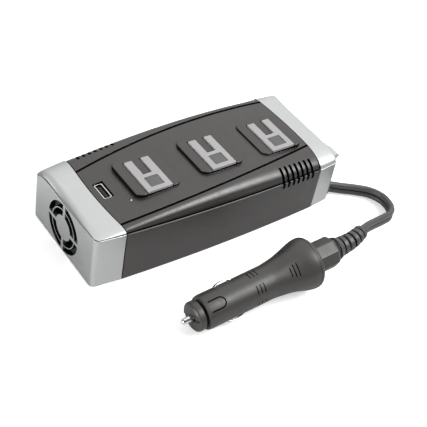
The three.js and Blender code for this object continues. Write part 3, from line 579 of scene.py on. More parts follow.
def case_tub():
    places = steps(-SEAM + SEAM_GAP / 2, SEAM - SEAM_GAP / 2, 60)
    count = len(tub_section(0))
    outer = (count - 4) // 2
    # the inside of the rim, the screw recesses and the vents take painted shade
    slots = (0, 1, 2 * outer - 3, 2 * outer - 2)
    tub = loft("case_tub", [ring_at(x, tub_section(x)) for x in places], dark_strips=slots)
    recesses = []
    for i in range(1, 5):
        middle = middle_of(f"case_screw_{i}")
        bore = [(-1, 0), (-1, 3.4), (0.2, 3.0), (2.2, 3.0), (2.2, 1.3), (9, 1.3), (9, 0)]
        recess = lathe(f"recess_{i}", bore, 32, True)
        seat = lathe(f"seat_{i}", [(1, 0), (1, 4.6), (4.6, 4.6), (4.6, 0)], 32)
        for obj in (recess, seat):
            placed(obj, moved(middle.x, middle.y, 0) @ turned("Y", -90))
        add(tub, seat)
        recesses.append(recess)
    cut(tub, *recesses, *vent_cutters("tub_vent"))
    softened(tub, 0.16, 2)
    piece(tub, CASE, "case", ["bottom_tub"], SHADOW)


case_tub()

# ---- Top cover ----

PAD = Sizes(width=32.5, far=15.4, near=-19.4, rise=2.0, corner=5.0, fillet=0.45)
COVER_SIZE = Sizes(width=17.6, near=-19.1, far=10.3, leg=5.5, notch=-3.8, above=1.0, thick=2.0)
SQUARE = Sizes(width=9.6, length=8.8, from_edge=7.6, depth=0.5)  # for the thumb, on a cover
COVER_GAP = 0.42  # gap round a cover, seen from above, shown as a dark line by painted shade on the channel's walls
CHANNEL_DEPTH = COVER_SIZE.thick - COVER_SIZE.above + GAP
CHANNEL_END = 11.3
BLADE = Sizes(apart=12.7, y=5.8, width=2.4, length=8.2)
GROUND = Sizes(y=-6.1, radius=2.6)
OUTLETS = [middle_of(f"receptacle_{i}").x for i in (1, 2, 3)]
USB_ROOM = Sizes(near=0.35, right=0.9, back=1.1)  # recess round the USB shell, its walls painted with shade
LAMP = Sizes(hole=1.2, tip=0.85, dome=0.6)  # only the tip of the lens stands in the hole
TOP_FOOT = 1.3  # how far the top cover reaches down behind the rim of the tub


def pad_top(x):
    return panel_height(x) + PAD.rise


def pad(x, index):
    """A raised, level pad with a rounded upper edge, and its walls painted with shade."""
    middle = (PAD.far + PAD.near) / 2
    fillet = PAD.fillet
    rings = []
    for inset, drop in [(0, 6)] + [(fillet * (1 - math.cos(t)), fillet * (1 - math.sin(t)))
                                   for t in steps(0, math.pi / 2, 6)]:
        plan = shifted(rounded(PAD.width - 2 * inset, PAD.far - PAD.near - 2 * inset,
                               PAD.corner - inset, 10), x, middle)
        rings.append([(a, b, pad_top(x) - drop) for a, b in plan])
    return loft(f"pad_{index}", rings, dark_rows=(0,))


def channel(x, index):
    """What is cut out of a pad: a channel for the cover, round a tongue between its legs."""
    half = COVER_SIZE.width / 2 + COVER_GAP
    tongue = COVER_SIZE.width / 2 - COVER_SIZE.leg - COVER_GAP
    near = PAD.near - 10
    start = COVER_SIZE.notch + 1.3
    plan = [(-half, near), (half, near), (half, CHANNEL_END), (tongue, CHANNEL_END), (tongue, start),
            (-tongue, start), (-tongue, CHANNEL_END), (-half, CHANNEL_END)]
    return raised(f"channel_{index}", shifted(plan, x, 0), pad_top(x) - CHANNEL_DEPTH, pad_top(x) + 8, True)


def outlet_holes(x, index, bottom):
    tools = []
    for side in (-1, 1):
        low = (x + side * BLADE.apart / 2 - BLADE.width / 2, BLADE.y - BLADE.length / 2, bottom)
        high = (low[0] + BLADE.width, BLADE.y + BLADE.length / 2, BEYOND)
        tools.append(block(f"blade_{index}_{side}", low, high, True))
    plan = circle(x, GROUND.y, GROUND.radius)
    return tools + [raised(f"ground_{index}", plan, bottom, BEYOND, True)]


def top_section(x):
    out = half_width(x) - RIM.width - RIM.slot
    sides = []
    for side in (1, -1):
        c = crease_height(x, side)
        inner = out - WALL
        reach = panel_reach(x, side) - 1
        under = panel_height(x) - WALL
        low = c - TOP_FOOT
        foot = [(side * inner, low), (side * out, low)]
        outer = foot + shoulder(x, side, out, c + 0.1)
        lining = [(side * (reach + (inner - reach) * math.cos(t)), low + (under - low) * math.sin(t))
                  for t in steps(0.15, math.pi / 2, 6)]
        sides.append((outer, lining))
    (back, back_lining), (front, front_lining) = sides
    return back + front[::-1] + front_lining + back_lining[::-1]


def case_top():
    places = steps(-SEAM - 3, SEAM + 3, 84)
    foot, curve = 2, 17
    first = foot + curve - 1
    length = foot + curve + 4
    grooves = [first, first + 1, first + 2, first + 3]
    # Painted shade: on the foot behind the tub's rim, the grooves beside the panel, the pad walls, and the
    # walls of every channel, hole, window, vent and seam cut below.
    strips = [0, 1] + grooves + [2 * length - 2 - j for j in [0, 1] + grooves]
    top = loft("case_top", [ring_at(x, top_section(x)) for x in places], dark_strips=strips)
    for index, x in enumerate(OUTLETS):
        add(top, pad(x, index))
    for index, x in enumerate(OUTLETS):
        cut(top, channel(x, index), *outlet_holes(x, index, HOLLOW))
    usb_low, usb_high = box_of("usb_shell")
    lamp = middle_of("power_lamp")
    near_corner = (usb_low.x - USB_ROOM.near, usb_low.y - USB_ROOM.near, HOLLOW)
    far_corner = (usb_high.x + USB_ROOM.right, usb_high.y + USB_ROOM.back, BEYOND)
    window = block("window", near_corner, far_corner, True)
    hole = raised("hole", circle(lamp.x, lamp.y, LAMP.hole), HOLLOW, BEYOND, True)
    cut(top, window, hole, *vent_cutters("top_vent"))
    cut(top, beyond_seam("beyond_cord_seam", 0), beyond_seam("beyond_fan_seam", 180))
    softened(top, 0.15, 2)
    piece(top, CASE, "case", ["top_cover"], SHADOW)


case_top()

# ---- End caps ----

# Widths and heights in the cord end's wall: the switch's parts, and the neck of the grommet.
SWITCH = Sizes(window=(13.0, 18.6), body=(12.4, 18.0), pocket=(11.0, 17.2))
CORD_NECK = (4.6, 6.2)
GRILLE = Sizes(z=18.3, rings=[(14.1, 17.4), (9.0, 12.7)], spoke=2.6)


def cap_lower(x, inset=0.0, bottom=0.0, lift=0.0):
    w = half_width(x) - inset
    r = EDGE_RADIUS
    back = arc(w - r, bottom + r, r, 0, -90, 6)
    front = [(-a, b) for a, b in back[::-1]]
    return back + front + [(y, ledge(x, y) + lift) for y in steps(-w, w, 30)]


def cap_upper(x, inset=0.0, kept=1.0):
    """Section of a cap's top, sunk towards the ledge where the share that is kept is below 1."""
    sides = []
    for side in (1, -1):
        out = half_width(x) - CAP_STEP - inset
        start = crease_height(x, side) + CAP_SLOT
        reach = panel_reach(x, side)
        rise = panel_height(x) - inset - start
        sides.append([(side * (reach + (out - reach) * math.cos(t)), start + rise * math.sin(t))
                      for t in steps(0, math.pi / 2, 18)])
    back, front = sides
    height = back[-1][1]
    across_panel = [(y, height) for y in steps(back[-1][0], front[-1][0], 12)[1:-1]]
    sunk = [(y, ledge(x, y) + CAP_SLOT + (z - ledge(x, y) - CAP_SLOT) * kept)
            for y, z in back + across_panel + front[::-1]]
    deep = 0.5
    feet = [[(y - math.copysign(deep, y), CAP_JOIN), (y - math.copysign(deep, y), z)]
            for y, z in (sunk[0], sunk[-1])]
    return feet[0] + sunk + feet[1][::-1]


def cap(name, sign):
    """One cap: side walls and end face, and a top that rolls down to the end face."""
    end, roll = end_of(sign), roll_of(sign)
    start = SEAM + SEAM_GAP / 2
    corner = [end - CORNER_RADIUS + CORNER_RADIUS * math.sin(t) for t in steps(0, math.pi / 2, 10)]
    places = steps(start, corner[0], 4)[:-1] + corner
    lower = loft(name, [ring_at(sign * x, cap_lower(sign * x)) for x in places])
    softened(lower, 0.4, 3)
    top = end - CAP_STEP
    rolled = [top - roll + roll * math.sin(t) for t in steps(0, math.pi / 2, 14)]
    sections = []
    for x in steps(start, rolled[0], 6)[:-1] + rolled:
        kept = math.sqrt(1 - into_roll(x * sign) ** 2)
        sections.append(ring_at(sign * x, cap_upper(sign * x, 0, kept)))
    sections.append(ring_at(sign * (top - 0.5), cap_upper(sign * top, 0, 0)))
    count = len(sections[0])
    # Painted shade: on the slot at the foot of the top, on the top's ends, and on the hollow, the inside
    # and the seam cut below.
    upper = loft(f"{name}_upper", sections, dark_strips=(0, 1, count - 3, count - 2), dark_ends=True)
    add(lower, upper)
    inner = end - WALL
    hollow = loft(f"{name}_hollow", [ring_at(sign * x, cap_lower(sign * x, WALL, WALL, 0.3)) for x in
                                     steps(SEAM - 2, inner, 3)], dark=True)
    short = inner - max(roll - WALL / 2, WALL / 2)
    over = loft(f"{name}_over", [ring_at(sign * x, cap_upper(sign * x, WALL)) for x in
                                 steps(SEAM - 2, short, 3)], dark=True)
    return cut(lower, hollow, over, inside_seam(f"{name}_seam", 0 if sign > 0 else 180))


def grille_cutter():
    """Ring slots, split by spokes that stand upright and level. The slots' walls take painted shade."""
    x0, x1 = -FAN_END - 1, -FAN_END + WALL + 1
    half = GRILLE.spoke / 2
    rings = []
    for index, (inner, outer) in enumerate(GRILLE.rings):
        face = -FAN_END
        soft = 0.35
        profile = [(x0, inner - soft), (face, inner - soft), (face + soft, inner), (x1, inner), (x1, outer),
                   (face + soft, outer), (face, outer + soft), (x0, outer + soft)]
        ring = lathe(f"slot_{index}", profile, 96, True)
        rings.append(placed(ring, moved(0, 0, GRILLE.z)))
    slots = add(rings[0], rings[1])
    return cut(slots, block("level", (x0 - 1, -30, GRILLE.z - half), (x1 + 1, 30, GRILLE.z + half)),
               block("upright", (x0 - 1, -half, -10), (x1 + 1, half, 50)))


def fan_cap():
    obj = cut(cap("cap_fan_end", -1), grille_cutter())
    piece(obj, SILVER, "case", ["fan_end_cap"], SHADOW)


def cord_cap():
    inner, outer = CORD_END - 4, CORD_END + 1
    # the walls of the switch window and of the cord's neck take painted shade
    window = bar("window", middle_of("switch_bezel"), SWITCH.window, inner, outer, True)
    neck = bar("neck", middle_of("cord_grommet"), CORD_NECK, inner, outer, True)
    obj = cut(cap("cap_cord_end", 1), window, neck)
    piece(obj, SILVER, "case", ["cord_end_cap"], SHADOW)


fan_cap()
cord_cap()

# ---- Outlet covers ----

def outlet_cover(index, x):
    """Two legs and a crossbar, with a recessed square for the thumb."""
    half = COVER_SIZE.width / 2
    near, far, notch = COVER_SIZE.near, COVER_SIZE.far, COVER_SIZE.notch
    inner = half - COVER_SIZE.leg
    plan = [(-half, near), (half, near), (half, far), (inner, far), (inner, notch), (-inner, notch),
            (-inner, far), (-half, far)]
    name = f"cover_{index}"
    obj = raised(name, plan, -CHANNEL_DEPTH + GAP, COVER_SIZE.above)
    square = shifted(rounded(SQUARE.width, SQUARE.length, 0.5, 4), 0, near + SQUARE.from_edge)
    cut(obj, raised(f"{name}_square", square, COVER_SIZE.above - SQUARE.depth, 3, True))
    softened(obj, 0.3, 3)
    placed(obj, moved(x, 0, pad_top(x)))
    node = f"outlet_{name}"
    piece(obj, COVER, node, [node], THUMB)


for number, outlet_x in enumerate(OUTLETS, 1):
    outlet_cover(number, outlet_x)

# ---- USB port, lamp, switch ----

def usb_shell():
    low, high = box_of("usb_shell")
    width, length = high.x - low.x, high.y - low.y
    middle = (low + high) / 2
    sheet, end = 0.8, 0.35
    outer = shifted(rounded(width, length, 0.7), middle.x, middle.y)
    inner = shifted(rounded(width - 2 * sheet, length - 2 * end, 0.3), middle.x, middle.y)
    obj = raised("usb_port_shell", outer, low.z, high.z)
    cut(obj, raised("mouth", inner, low.z - 1, high.z + 1))
    softened(obj, 0.12, 2)
    piece(obj, STEEL, "case", ["usb_shell"])


def lamp():
    low, high = box_of("power_lamp")
    middle = (low + high) / 2
    radius = (high.x - low.x) / 2
    top = high.z - low.z
    tip, dome = LAMP.tip, LAMP.dome
    profile = [(0, 0), (0, radius), (top - dome - 1, radius), (top - dome - 0.8, tip), (top - dome, tip)]
    profile += [(top - dome + dome * math.sin(t), tip * math.cos(t)) for t in steps(0.2, math.pi / 2, 7)]
    obj = lathe("lamp", profile, 32)
    placed(obj, moved(middle.x, middle.y, low.z) @ turned("Y", -90))
    piece(obj, LENS, "case", ["power_lamp"])


usb_shell()
lamp()


def switch_bezel():
    low, high = box_of("switch_bezel")
    middle = (low + high) / 2
    width, height = high.y - low.y, high.z - low.z
    face = CORD_END + GAP
    plan = shifted(rounded(width, height, 1.8), middle.y, middle.z)
    obj = along("switch_frame", plan, face, high.x)
    softened(obj, 0.6, 4)
    add(obj, bar("body", middle, SWITCH.body, low.x, face + 0.5))
    cut(obj, bar("pocket", middle, SWITCH.pocket, face - 7, high.x + 1, True))
    piece(obj, PALE, "case", ["switch_bezel"], SOCKET)


ROCKER = Sizes(width=10.4, end=6.6, crown=5.0, dip=2.2, tilt=10)


def switch_rocker():
    pivot = Vector(joint_of("power_switch_tip")["pos_m"]) / MM
    radius = math.hypot(ROCKER.end, ROCKER.crown)
    start = math.degrees(math.atan2(ROCKER.end, ROCKER.crown))
    upper = arc(0, 0, radius, start, 115, 8)
    lower = [(x, -z) for x, z in upper][::-1]
    dish = [(ROCKER.dip + 0.5 * (s / 4) ** 2, s / 4 * ROCKER.end / 2) for s in range(-4, 5)]
    obj = across("rocker", lower + dish + upper, -ROCKER.width / 2, ROCKER.width / 2)
    softened(obj, 0.35, 3)
    placed(obj, moved(*pivot) @ turned("Y", ROCKER.tilt))
    piece(obj, PALE, "switch_rocker", ["switch_rocker"])


switch_bezel()
switch_rocker()

# ---- Fan rotor ----

ROTOR = Sizes(hub=6.6, tip=13.4, blades=7, middle=4.2, sheet=0.6, bow=0.5)
FAN_BLADE = Sizes(along=3.1, round=3.6, pitch=50, flatter=2)  # half sizes; flatter by 2 degrees a mm


def fan_rotor():
    low, high = box_of("fan_rotor")
    axis = Vector(joint_of("fan_spin")["pos_m"]) / MM
    hub = ROTOR.hub
    profile = [(low.x, 0), (low.x, hub - 1), (low.x + 0.3, hub - 0.3), (low.x + 1, hub), (high.x, hub),
               (high.x, 0)]
    obj = lathe("rotor", profile, 48)
    for index in range(ROTOR.blades):
        rings = []
        for r in steps(hub - 0.5, ROTOR.tip, 8):
            pitch = math.radians(FAN_BLADE.pitch - FAN_BLADE.flatter * (r - hub))
            ring = [(FAN_BLADE.along * u * math.sin(pitch) + ROTOR.bow * (1 - u * u),
                     FAN_BLADE.round * u * math.cos(pitch), r) for u in steps(-1, 1, 6)]
            back = [(x + ROTOR.sheet, y, z) for x, y, z in ring[::-1]]
            rings.append([(low.x + ROTOR.middle + x, y, z) for x, y, z in ring + back])
        blade = loft(f"blade_{index}", rings)
        add(obj, placed(blade, turned("X", 360 / ROTOR.blades * index)))
    placed(obj, moved(0, axis.y, axis.z))
    piece(obj, SOCKET, "fan_rotor", ["fan_rotor"])


fan_rotor()

# ---- Cord and boot ----

CORD_HEIGHT = 8.6
CORD_THICK = 4.3

# Centreline of the cord, from the case to the plug's boot, as the CAD lays it.
CORD_ROUTE = [
    (91.5, -31.9, 5.8), (95.9, -32.2, 5.7), (99, -33.7, 5.3), (103.6, -36.6, 4.9), (112.3, -42.4, 4.7),
    (119.9, -49.3, 4.7), (123.5, -57.6, 4.8), (122.6, -65.2, 5.3), (118.9, -71.4, 6.4),
    (113, -75.7, 8), (104, -78.5, 10.8), (92.6, -81.1, 14), (83, -83.6, 16.9), (75, -86.1, 18.7),
    (71.5, -87.5, 19.1),
]
BOOT_ROUTE = [(54, -90.9, 19.1), (62, -90.3, 19.7), (68.5, -88.6, 19.7), (74.3, -86.4, 18.8)]


def smooth_route(points, per_step):
    """A centripetal Catmull-Rom curve through the points."""
    points = [Vector(p) for p in points]
    ends = [points[0] * 2 - points[1]] + points + [points[-1] * 2 - points[-2]]
    curve = []
    for a, b, c, d in zip(ends, ends[1:], ends[2:], ends[3:]):
        ab, bc, cd = [math.sqrt((q - p).length) for p, q in ((a, b), (b, c), (c, d))]
        leave = ((b - a) / ab - (c - a) / (ab + bc) + (c - b) / bc) * bc
        arrive = ((c - b) / bc - (d - b) / (bc + cd) + (d - c) / cd) * bc
        for t in steps(0, 1, per_step)[:-1]:
            curve.append(b * (2 * t ** 3 - 3 * t ** 2 + 1) + leave * (t ** 3 - 2 * t ** 2 + t)
                         + c * (3 * t ** 2 - 2 * t ** 3) + arrive * (t ** 3 - t ** 2))
    return curve + [points[-1]]


def frames_along(curve):
    """(point, side, up) along a curve, with up as near the Z axis as the curve allows."""
    frames = []
    for i, point in enumerate(curve):
        forward = (curve[min(i + 1, len(curve) - 1)] - curve[max(i - 1, 0)]).normalized()
        side = forward.cross(Vector((0, 0, 1))).normalized()
        frames.append((point, side, side.cross(forward)))
    return frames


def sweep(name, curve, sections, **marks):
    """A section, or one for each point, carried along a curve."""
    rings = []
    for (point, side, up), section in zip(frames_along(curve), sections):
        rings.append([point + side * a + up * b for a, b in section])
    return loft(name, rings, **marks)


def twin_section():
    """Two round conductors one above the other, with a groove between them, as (across, up)."""
    r = CORD_THICK / 2
    c = CORD_HEIGHT / 2 - r
    rim = [(r * math.cos(t), c + r * math.sin(t)) for t in steps(-1, math.pi / 2, 10)[:-1]]
    right = [(0.42 * r, 0.12)] + rim
    half = right + [(0, c + r)] + [(-a, b) for a, b in right[::-1]]
    return half + [(-a, -b) for a, b in half]


def cord_lead():
    curve = smooth_route(CORD_ROUTE, 10)
    section = twin_section()
    half = len(section) // 2
    # the groove between the conductors takes painted shade
    grooves = (0, half - 2, half - 1, half, 2 * half - 2, 2 * half - 1)
    obj = sweep("cord_twin_lead", curve, [section] * len(curve), dark_strips=grooves)
    piece(obj, CORD, "case", ["cord_lead"], SHADOW)
    return obj, [p * MM for p in curve]


BOOT = Sizes(first=7.9, neck=6.4, radius=6.2, taper=0.32, start=0.2, pitch=0.16, share=0.78, edge=0.13,
             depth=1.2)


def boot_radius(t):
    """Radius of the boot at a share of its length: a cone, then ribs that get smaller."""
    if t < BOOT.start:
        u = t / BOOT.start
        cone = BOOT.first + (BOOT.neck - BOOT.first) * eased(u)
        return cone - (BOOT.depth if u > 0.86 else 0)
    rib, u = divmod((t - BOOT.start) / BOOT.pitch, 1)
    outer = BOOT.radius - BOOT.taper * rib
    edge = max(0, min(u, BOOT.share - u) / BOOT.edge)
    lift = math.sqrt(1 - (1 - min(1, edge)) ** 2)
    return outer - BOOT.depth * (1 - lift)


def plug_boot():
    start = PLUG @ Vector((COLLAR.end + GAP, 0, 0))
    curve = smooth_route([start] + BOOT_ROUTE, 34)
    lengths = [0.0]
    for a, b in zip(curve, curve[1:]):
        lengths.append(lengths[-1] + (b - a).length)
    sections, rows = [], []
    for i, at in enumerate(lengths):
        radius = boot_radius(at / lengths[-1])
        # the valleys between the ribs take painted shade
        if (at / lengths[-1] - BOOT.start) / BOOT.pitch % 1 > BOOT.share:
            rows.append(i)
        sections.append(circle(0, 0, radius, 40))
    obj = sweep("boot", curve, sections, dark_rows=rows)
    piece(obj, CORD, "case", ["plug_boot"], SHADOW)


def cord_grommet():
    low, high = box_of("cord_grommet")
    middle = (low + high) / 2
    rings = []
    for x, grow in ((CORD_END - 5, -0.8), (CORD_END + GAP, -0.8), (CORD_END + GAP, 0), (high.x - 0.8, 0),
                    (high.x - 0.25, -0.25), (high.x, -0.8)):
        plan = rounded(high.y - low.y + 2 * grow, high.z - low.z + 2 * grow, 1.7 + grow)
        rings.append(ring_at(x, shifted(plan, middle.y, middle.z)))
    obj = loft("grommet", rings)
    piece(obj, CORD, "case", ["cord_grommet"])


# ---- Plug ----

# Its own length coordinate starts at the rim of the barrel and runs towards the cord.
RIM_RADIUS = 10.6
HEAD_RADIUS = 16.75
HEAD_AT = 77.7
WAIST_AT = 46
COLLAR = Sizes(start=81.6, end=100.0, radius=10.3)
PLUG_TILT = math.atan((HEAD_RADIUS - RIM_RADIUS) / HEAD_AT)
PLUG_X = -53.4
PLUG_LIFT = 0.1
PLUG_HEIGHT = RIM_RADIUS * math.cos(PLUG_TILT) + PLUG_LIFT
PLUG = moved(PLUG_X, middle_of("plug_body").y, PLUG_HEIGHT) @ turned("Y", -math.degrees(PLUG_TILT))
BORE = Sizes(radius=6.2, end=46)
CONTACTS = {1: 39, 2: 219}  # their angles round the barrel, in degrees from +Y towards +Z
CONTACT = Sizes(first=13.2, last=25.6, foot=9.2, peak=12.4, sheet=0.8, half=1.95)
CONTACT_ROOM = Sizes(ends=0.6, sides=0.3)  # between a contact and its slot
LATCH = Sizes(angle=118, near=2.2, far=9.6, half=3.25)
GRIPS = Sizes(angle=135, turns=6, first=34.6, pitch=2.6, reach=0.27)
FLATS = Sizes(angle=129, turns=4, start=50, sink=0.075)
FLAT_LINES = Sizes(first=59.2, pitch=2.4, reaches=(0.24, 0.33, 0.33))
COIN_SLOT = Sizes(angle=143, half=1.9)


def barrel_radius(x):
    neck = RIM_RADIUS + 0.3
    t = min(1, max(0, (x - WAIST_AT) / (HEAD_AT - WAIST_AT)))
    return neck + (HEAD_RADIUS - neck) * eased(t)


def flattened(x, angle):
    """Four soft finger flats on the flare."""
    start = FLATS.start
    if not start < x < HEAD_AT:
        return 1
    swell = math.sin(math.pi * (x - start) / (HEAD_AT - start)) ** 2
    wave = math.cos(FLATS.turns * (angle - math.radians(FLATS.angle)))
    return 1 - FLATS.sink * swell * (1 + wave) / 2


def surface_point(x, angle):
    r = barrel_radius(x) * flattened(x, angle)
    return Vector((x, r * math.cos(angle), r * math.sin(angle)))


def groove(name, route, width, depth):
    """A cutter that follows a route of (x, angle) over the handle's surface."""
    rings = []
    for i, (x, angle) in enumerate(route):
        here = surface_point(x, angle)
        ahead = surface_point(*route[min(i + 1, len(route) - 1)])
        behind = surface_point(*route[max(i - 1, 0)])
        out = Vector((0, math.cos(angle), math.sin(angle)))
        side = (ahead - behind).normalized().cross(out).normalized() * (width / 2)
        fade = depth if 0 < i < len(route) - 1 else 0.02
        rings.append([here + out * 1.0 + side * 1.8, here - out * fade + side * 0.8,
                      here - out * fade - side * 0.8, here + out * 1.0 - side * 1.8])
    return loft(name, rings, dark=True)


def plug_body():
    r = 0.7
    profile = [(0, BORE.radius)] + [(r - x, RIM_RADIUS - r + y) for x, y in arc(0, 0, r, 0, 90, 5)]
    profile += [(x, barrel_radius(x)) for x in steps(3, 44, 8) + steps(WAIST_AT, HEAD_AT, 30)]
    profile += [(HEAD_AT + 0.25, HEAD_RADIUS - 0.3), (HEAD_AT + 0.5, HEAD_RADIUS)]
    profile += [(HEAD_AT + 0.5 + 3.1 * math.sin(t), HEAD_RADIUS - 3.2 + 3.2 * math.cos(t))
                for t in steps(0.25, math.pi / 2, 7)]
    profile += [(COLLAR.start - GAP, 0), (BORE.end, 0), (BORE.end, BORE.radius)]
    obj = lathe("plug_handle", profile, 128, bend=flattened)
    # the contact slots, the latch groove and the grip and flat lines take painted shade
    tools = []
    ends, half = CONTACT_ROOM.ends, CONTACT.half + CONTACT_ROOM.sides
    for number, angle in CONTACTS.items():
        slot = block(f"contact_slot_{number}", (CONTACT.first - ends, 5, -half),
                     (CONTACT.last + ends, 14, half), True)
        tools.append(placed(slot, turned("X", angle)))
    near, far, half = LATCH.near, LATCH.far, LATCH.half
    middle, spread = math.radians(LATCH.angle), half / RIM_RADIUS
    latch = [(x, middle - spread) for x in steps(near, far, 8)]
    latch += [(far + half * math.sin(t), middle - spread * math.cos(t))
              for t in steps(0.2, math.pi - 0.2, 12)]
    latch += [(x, middle + spread) for x in steps(far, near, 8)]
    tools.append(groove("latch", latch, 0.75, 0.8))
    for turn in range(GRIPS.turns):
        centre = math.radians(GRIPS.angle + 360 / GRIPS.turns * turn)
        for line in range(3):
            x = GRIPS.first + GRIPS.pitch * line
            route = [(x, centre + t) for t in steps(-GRIPS.reach, GRIPS.reach, 10)]
            tools.append(groove(f"grip_{turn}_{line}", route, 0.55, 0.5))
    for turn in range(FLATS.turns):
        centre = math.radians(FLATS.angle + 360 / FLATS.turns * turn)
        for line, reach in enumerate(FLAT_LINES.reaches):
            x = FLAT_LINES.first + FLAT_LINES.pitch * line
            route = [(x, centre + t) for t in steps(-reach, reach, 10)]
            tools.append(groove(f"flat_{turn}_{line}", route, 0.6, 0.55))
    cut(obj, *tools)
    placed(obj, PLUG)
    piece(obj, PLUG_BLACK, "case", ["plug_body"], SHADOW, 40)


def plug_nose():
    profile = [(-7, 2.6), (-7, 7.4), (-6.85, 7.9), (-6.1, 8.9), (-5.6, 9.25), (-5, 9.4), (-2.2, 9.4),
               (-1.8, 9.25), (-1.6, 8.9), (-1.6, 5.9), (4, 5.9), (4, 4.8), (-5, 4.8), (-5, 2.6)]
    obj = lathe("plug_nose_cap", profile, 96)
    half = COIN_SLOT.half
    slot = block("coin_slot", (-8, -12, -half), (-5.9, 12, half))
    cut(obj, placed(slot, turned("X", COIN_SLOT.angle)))
    softened(obj, 0.25, 3)
    placed(obj, PLUG)
    piece(obj, PLUG_BLACK, "case", ["plug_nose"])


def plug_tip():
    profile = [(-13.4 + 1.7 * (1 - math.cos(t)), 1.75 * math.sin(t)) for t in steps(0, math.pi / 2, 8)]
    profile += [(-9, 2.0), (-7.5, 2.2), (-4.7, 2.2), (-4.7, 4.3), (-3, 4.3), (-3, 3.3), (2, 3.3), (2, 0)]
    obj = placed(lathe("plug_centre_tip", profile, 48), PLUG)
    piece(obj, CHROME, "plug_tip", ["plug_tip"])


def plug_contact(number, angle):
    """A bowed leaf that stands out of its slot, a little rounded across."""
    first, last, half, sheet = CONTACT.first, CONTACT.last, CONTACT.half, CONTACT.sheet
    rings = []
    for t in steps(0, math.pi, 24):
        x = (first + last) / 2 - (last - first) / 2 * math.cos(t)
        z = CONTACT.foot + (CONTACT.peak - sheet - CONTACT.foot) * math.sin(t) ** 0.8
        ring = [(x, half * u, z + sheet * (1 - 0.35 * u * u)) for u in steps(-1, 1, 8)]
        rings.append(ring + [(x, half, z), (x, -half, z)])
    obj = loft(f"contact_leaf_{number}", rings)
    softened(obj, 0.12, 2)
    placed(obj, PLUG @ turned("X", angle - 90))
    piece(obj, STEEL, f"plug_contact_{number}", [f"plug_contact_{number}"])


def plug_collar():
    start, end, radius = COLLAR.start, COLLAR.end, COLLAR.radius
    profile = [(start, 0), (start, radius), (end - 2.5, radius), (end, radius - 2.1), (end, 0)]
    obj = lathe("plug_collar_nut", profile, 8)
    softened(obj, 0.6, 3, 20)
    placed(obj, PLUG)
    piece(obj, PLUG_BLACK, "case", ["plug_collar"], flat_above=60)


cord_grommet()
lead, lead_path = cord_lead()
plug_body()
plug_nose()
plug_tip()
for contact_number, contact_angle in CONTACTS.items():
    plug_contact(contact_number, contact_angle)
plug_collar()
plug_boot()

# ---- Inner pieces: the CAD's own shapes, with their materials ----

INSIDE = {
    "case_screw_": STEEL, "fan_frame": SOCKET, "receptacle_": SOCKET, "line_bus": BRASS,
    "neutral_bus": BRASS, "ground_bus": BRASS, "usb_tongue": SOCKET, "circuit_board": BOARD,
    "heat_sink_": ALUMINIUM, "transistor_": SLEEVE, "transformer_core": FERRITE,
    "transformer_winding": COPPER, "choke": COPPER, "capacitor_": SLEEVE, "plug_fuse": GLASS,
    "plug_spring": STEEL,
}
for start_of_name, material in INSIDE.items():
    for node_name, node in frame["nodes"].items():
        if node_name.startswith(start_of_name):
            node.data.materials.clear()
            node.data.materials.append(material)

# ---- Studio ----

FLOOR_BOUNCE = 0.65  # how much light the floor gives back to the object
FLOOR_WHITE = 0.93  # how pale the floor is to the camera
FLOOR_GLOW = 0.5  # lifts the floor to plain white where the camera sees it


def make_floor():
    bpy.ops.mesh.primitive_circle_add(vertices=96, radius=3.0, fill_type="NGON", location=(0, 0, -0.0002))
    floor = bpy.context.object
    floor.name = "floor"
    material = bpy.data.materials.new("floor")
    material.use_nodes = True
    tree = material.node_tree
    path = new_node(tree, "LightPath")
    tint = new_node(tree, "Mix")
    tint.data_type = "RGBA"
    tint.inputs["A"].default_value = (FLOOR_BOUNCE, FLOOR_BOUNCE, FLOOR_BOUNCE, 1)
    tint.inputs["B"].default_value = (FLOOR_WHITE, FLOOR_WHITE, FLOOR_WHITE, 1)
    shader = tree.nodes["Principled BSDF"]
    tree.links.new(path.outputs["Is Camera Ray"], tint.inputs["Factor"])
    tree.links.new(tint.outputs["Result"], shader.inputs["Base Color"])
    glow = new_node(tree, "Math")
    glow.operation = "MULTIPLY"
    glow.inputs[1].default_value = FLOOR_GLOW
    tree.links.new(path.outputs["Is Camera Ray"], glow.inputs[0])
    tree.links.new(glow.outputs["Value"], shader.inputs["Emission Strength"])
    shader.inputs["Emission Color"].default_value = (1, 1, 1, 1)
    shader.inputs["Roughness"].default_value = 0.9
    shader.inputs["Specular IOR Level"].default_value = 0.1
    floor.data.materials.append(material)


SKY_TOP = (0.45, 0.45, 0.7)  # the middle of the bright part of the sky
SKY_STOPS = ((0.0, 0.1), (0.5, 0.14), (0.88, 1.05), (1.0, 1.2))  # (cosine from that middle, brightness)


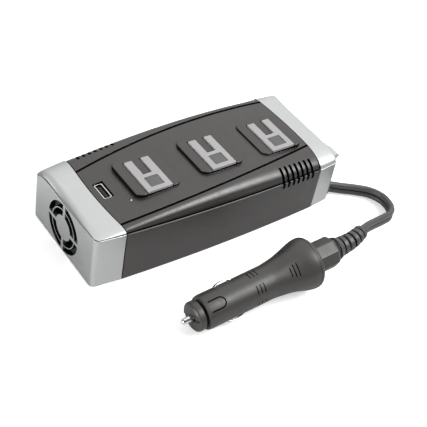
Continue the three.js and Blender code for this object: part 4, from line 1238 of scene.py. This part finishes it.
def make_sky():
    """A white tent: bright on one side, darker on the other, plain white where the camera sees it."""
    world = bpy.data.worlds.new("studio")
    SCENE.world = world
    world.use_nodes = True
    tree = world.node_tree
    tree.nodes.clear()
    place = new_node(tree, "TexCoord")
    height = new_node(tree, "VectorMath")
    height.operation = "DOT_PRODUCT"
    height.inputs[1].default_value = Vector(SKY_TOP).normalized()
    ramp = new_node(tree, "ValToRGB")
    light = new_node(tree, "Background")
    white = new_node(tree, "Background")
    path = new_node(tree, "LightPath")
    mix = new_node(tree, "MixShader")
    output = new_node(tree, "OutputWorld")
    for stop in SKY_STOPS[1:-1]:
        ramp.color_ramp.elements.new(stop[0])
    for element, (position, value) in zip(ramp.color_ramp.elements, SKY_STOPS):
        element.position = position
        element.color = (value, value, value, 1)
    light.inputs["Strength"].default_value = 1.0
    white.inputs["Strength"].default_value = 1.0
    white.inputs["Color"].default_value = (1, 1, 1, 1)
    tree.links.new(place.outputs["Generated"], height.inputs[0])
    tree.links.new(height.outputs["Value"], ramp.inputs["Fac"])
    tree.links.new(ramp.outputs["Color"], light.inputs["Color"])
    tree.links.new(path.outputs["Is Camera Ray"], mix.inputs["Fac"])
    tree.links.new(light.outputs["Background"], mix.inputs[1])
    tree.links.new(white.outputs["Background"], mix.inputs[2])
    tree.links.new(mix.outputs["Shader"], output.inputs["Surface"])


def softbox(name, direction, distance, width, height, power):
    light = bpy.data.objects.new(name, bpy.data.lights.new(name, "AREA"))
    SCENE.collection.objects.link(light)
    light.data.shape = "RECTANGLE"
    light.data.size = width
    light.data.size_y = height
    light.data.energy = power
    back = Vector(direction).normalized()
    light.location = back * distance
    light.rotation_euler = back.to_track_quat("Z", "Y").to_euler()


make_floor()
make_sky()
softbox("key", (0.5, -0.42, 0.75), 1.7, 0.9, 0.9, 24)
softbox("fill", (-1, -0.15, 0.12), 1.3, 0.9, 0.9, 20)
SCENE.view_settings.view_transform = "Standard"
SCENE.view_settings.look = "None"

for holder in HOLDERS:
    bpy.data.materials.remove(holder)
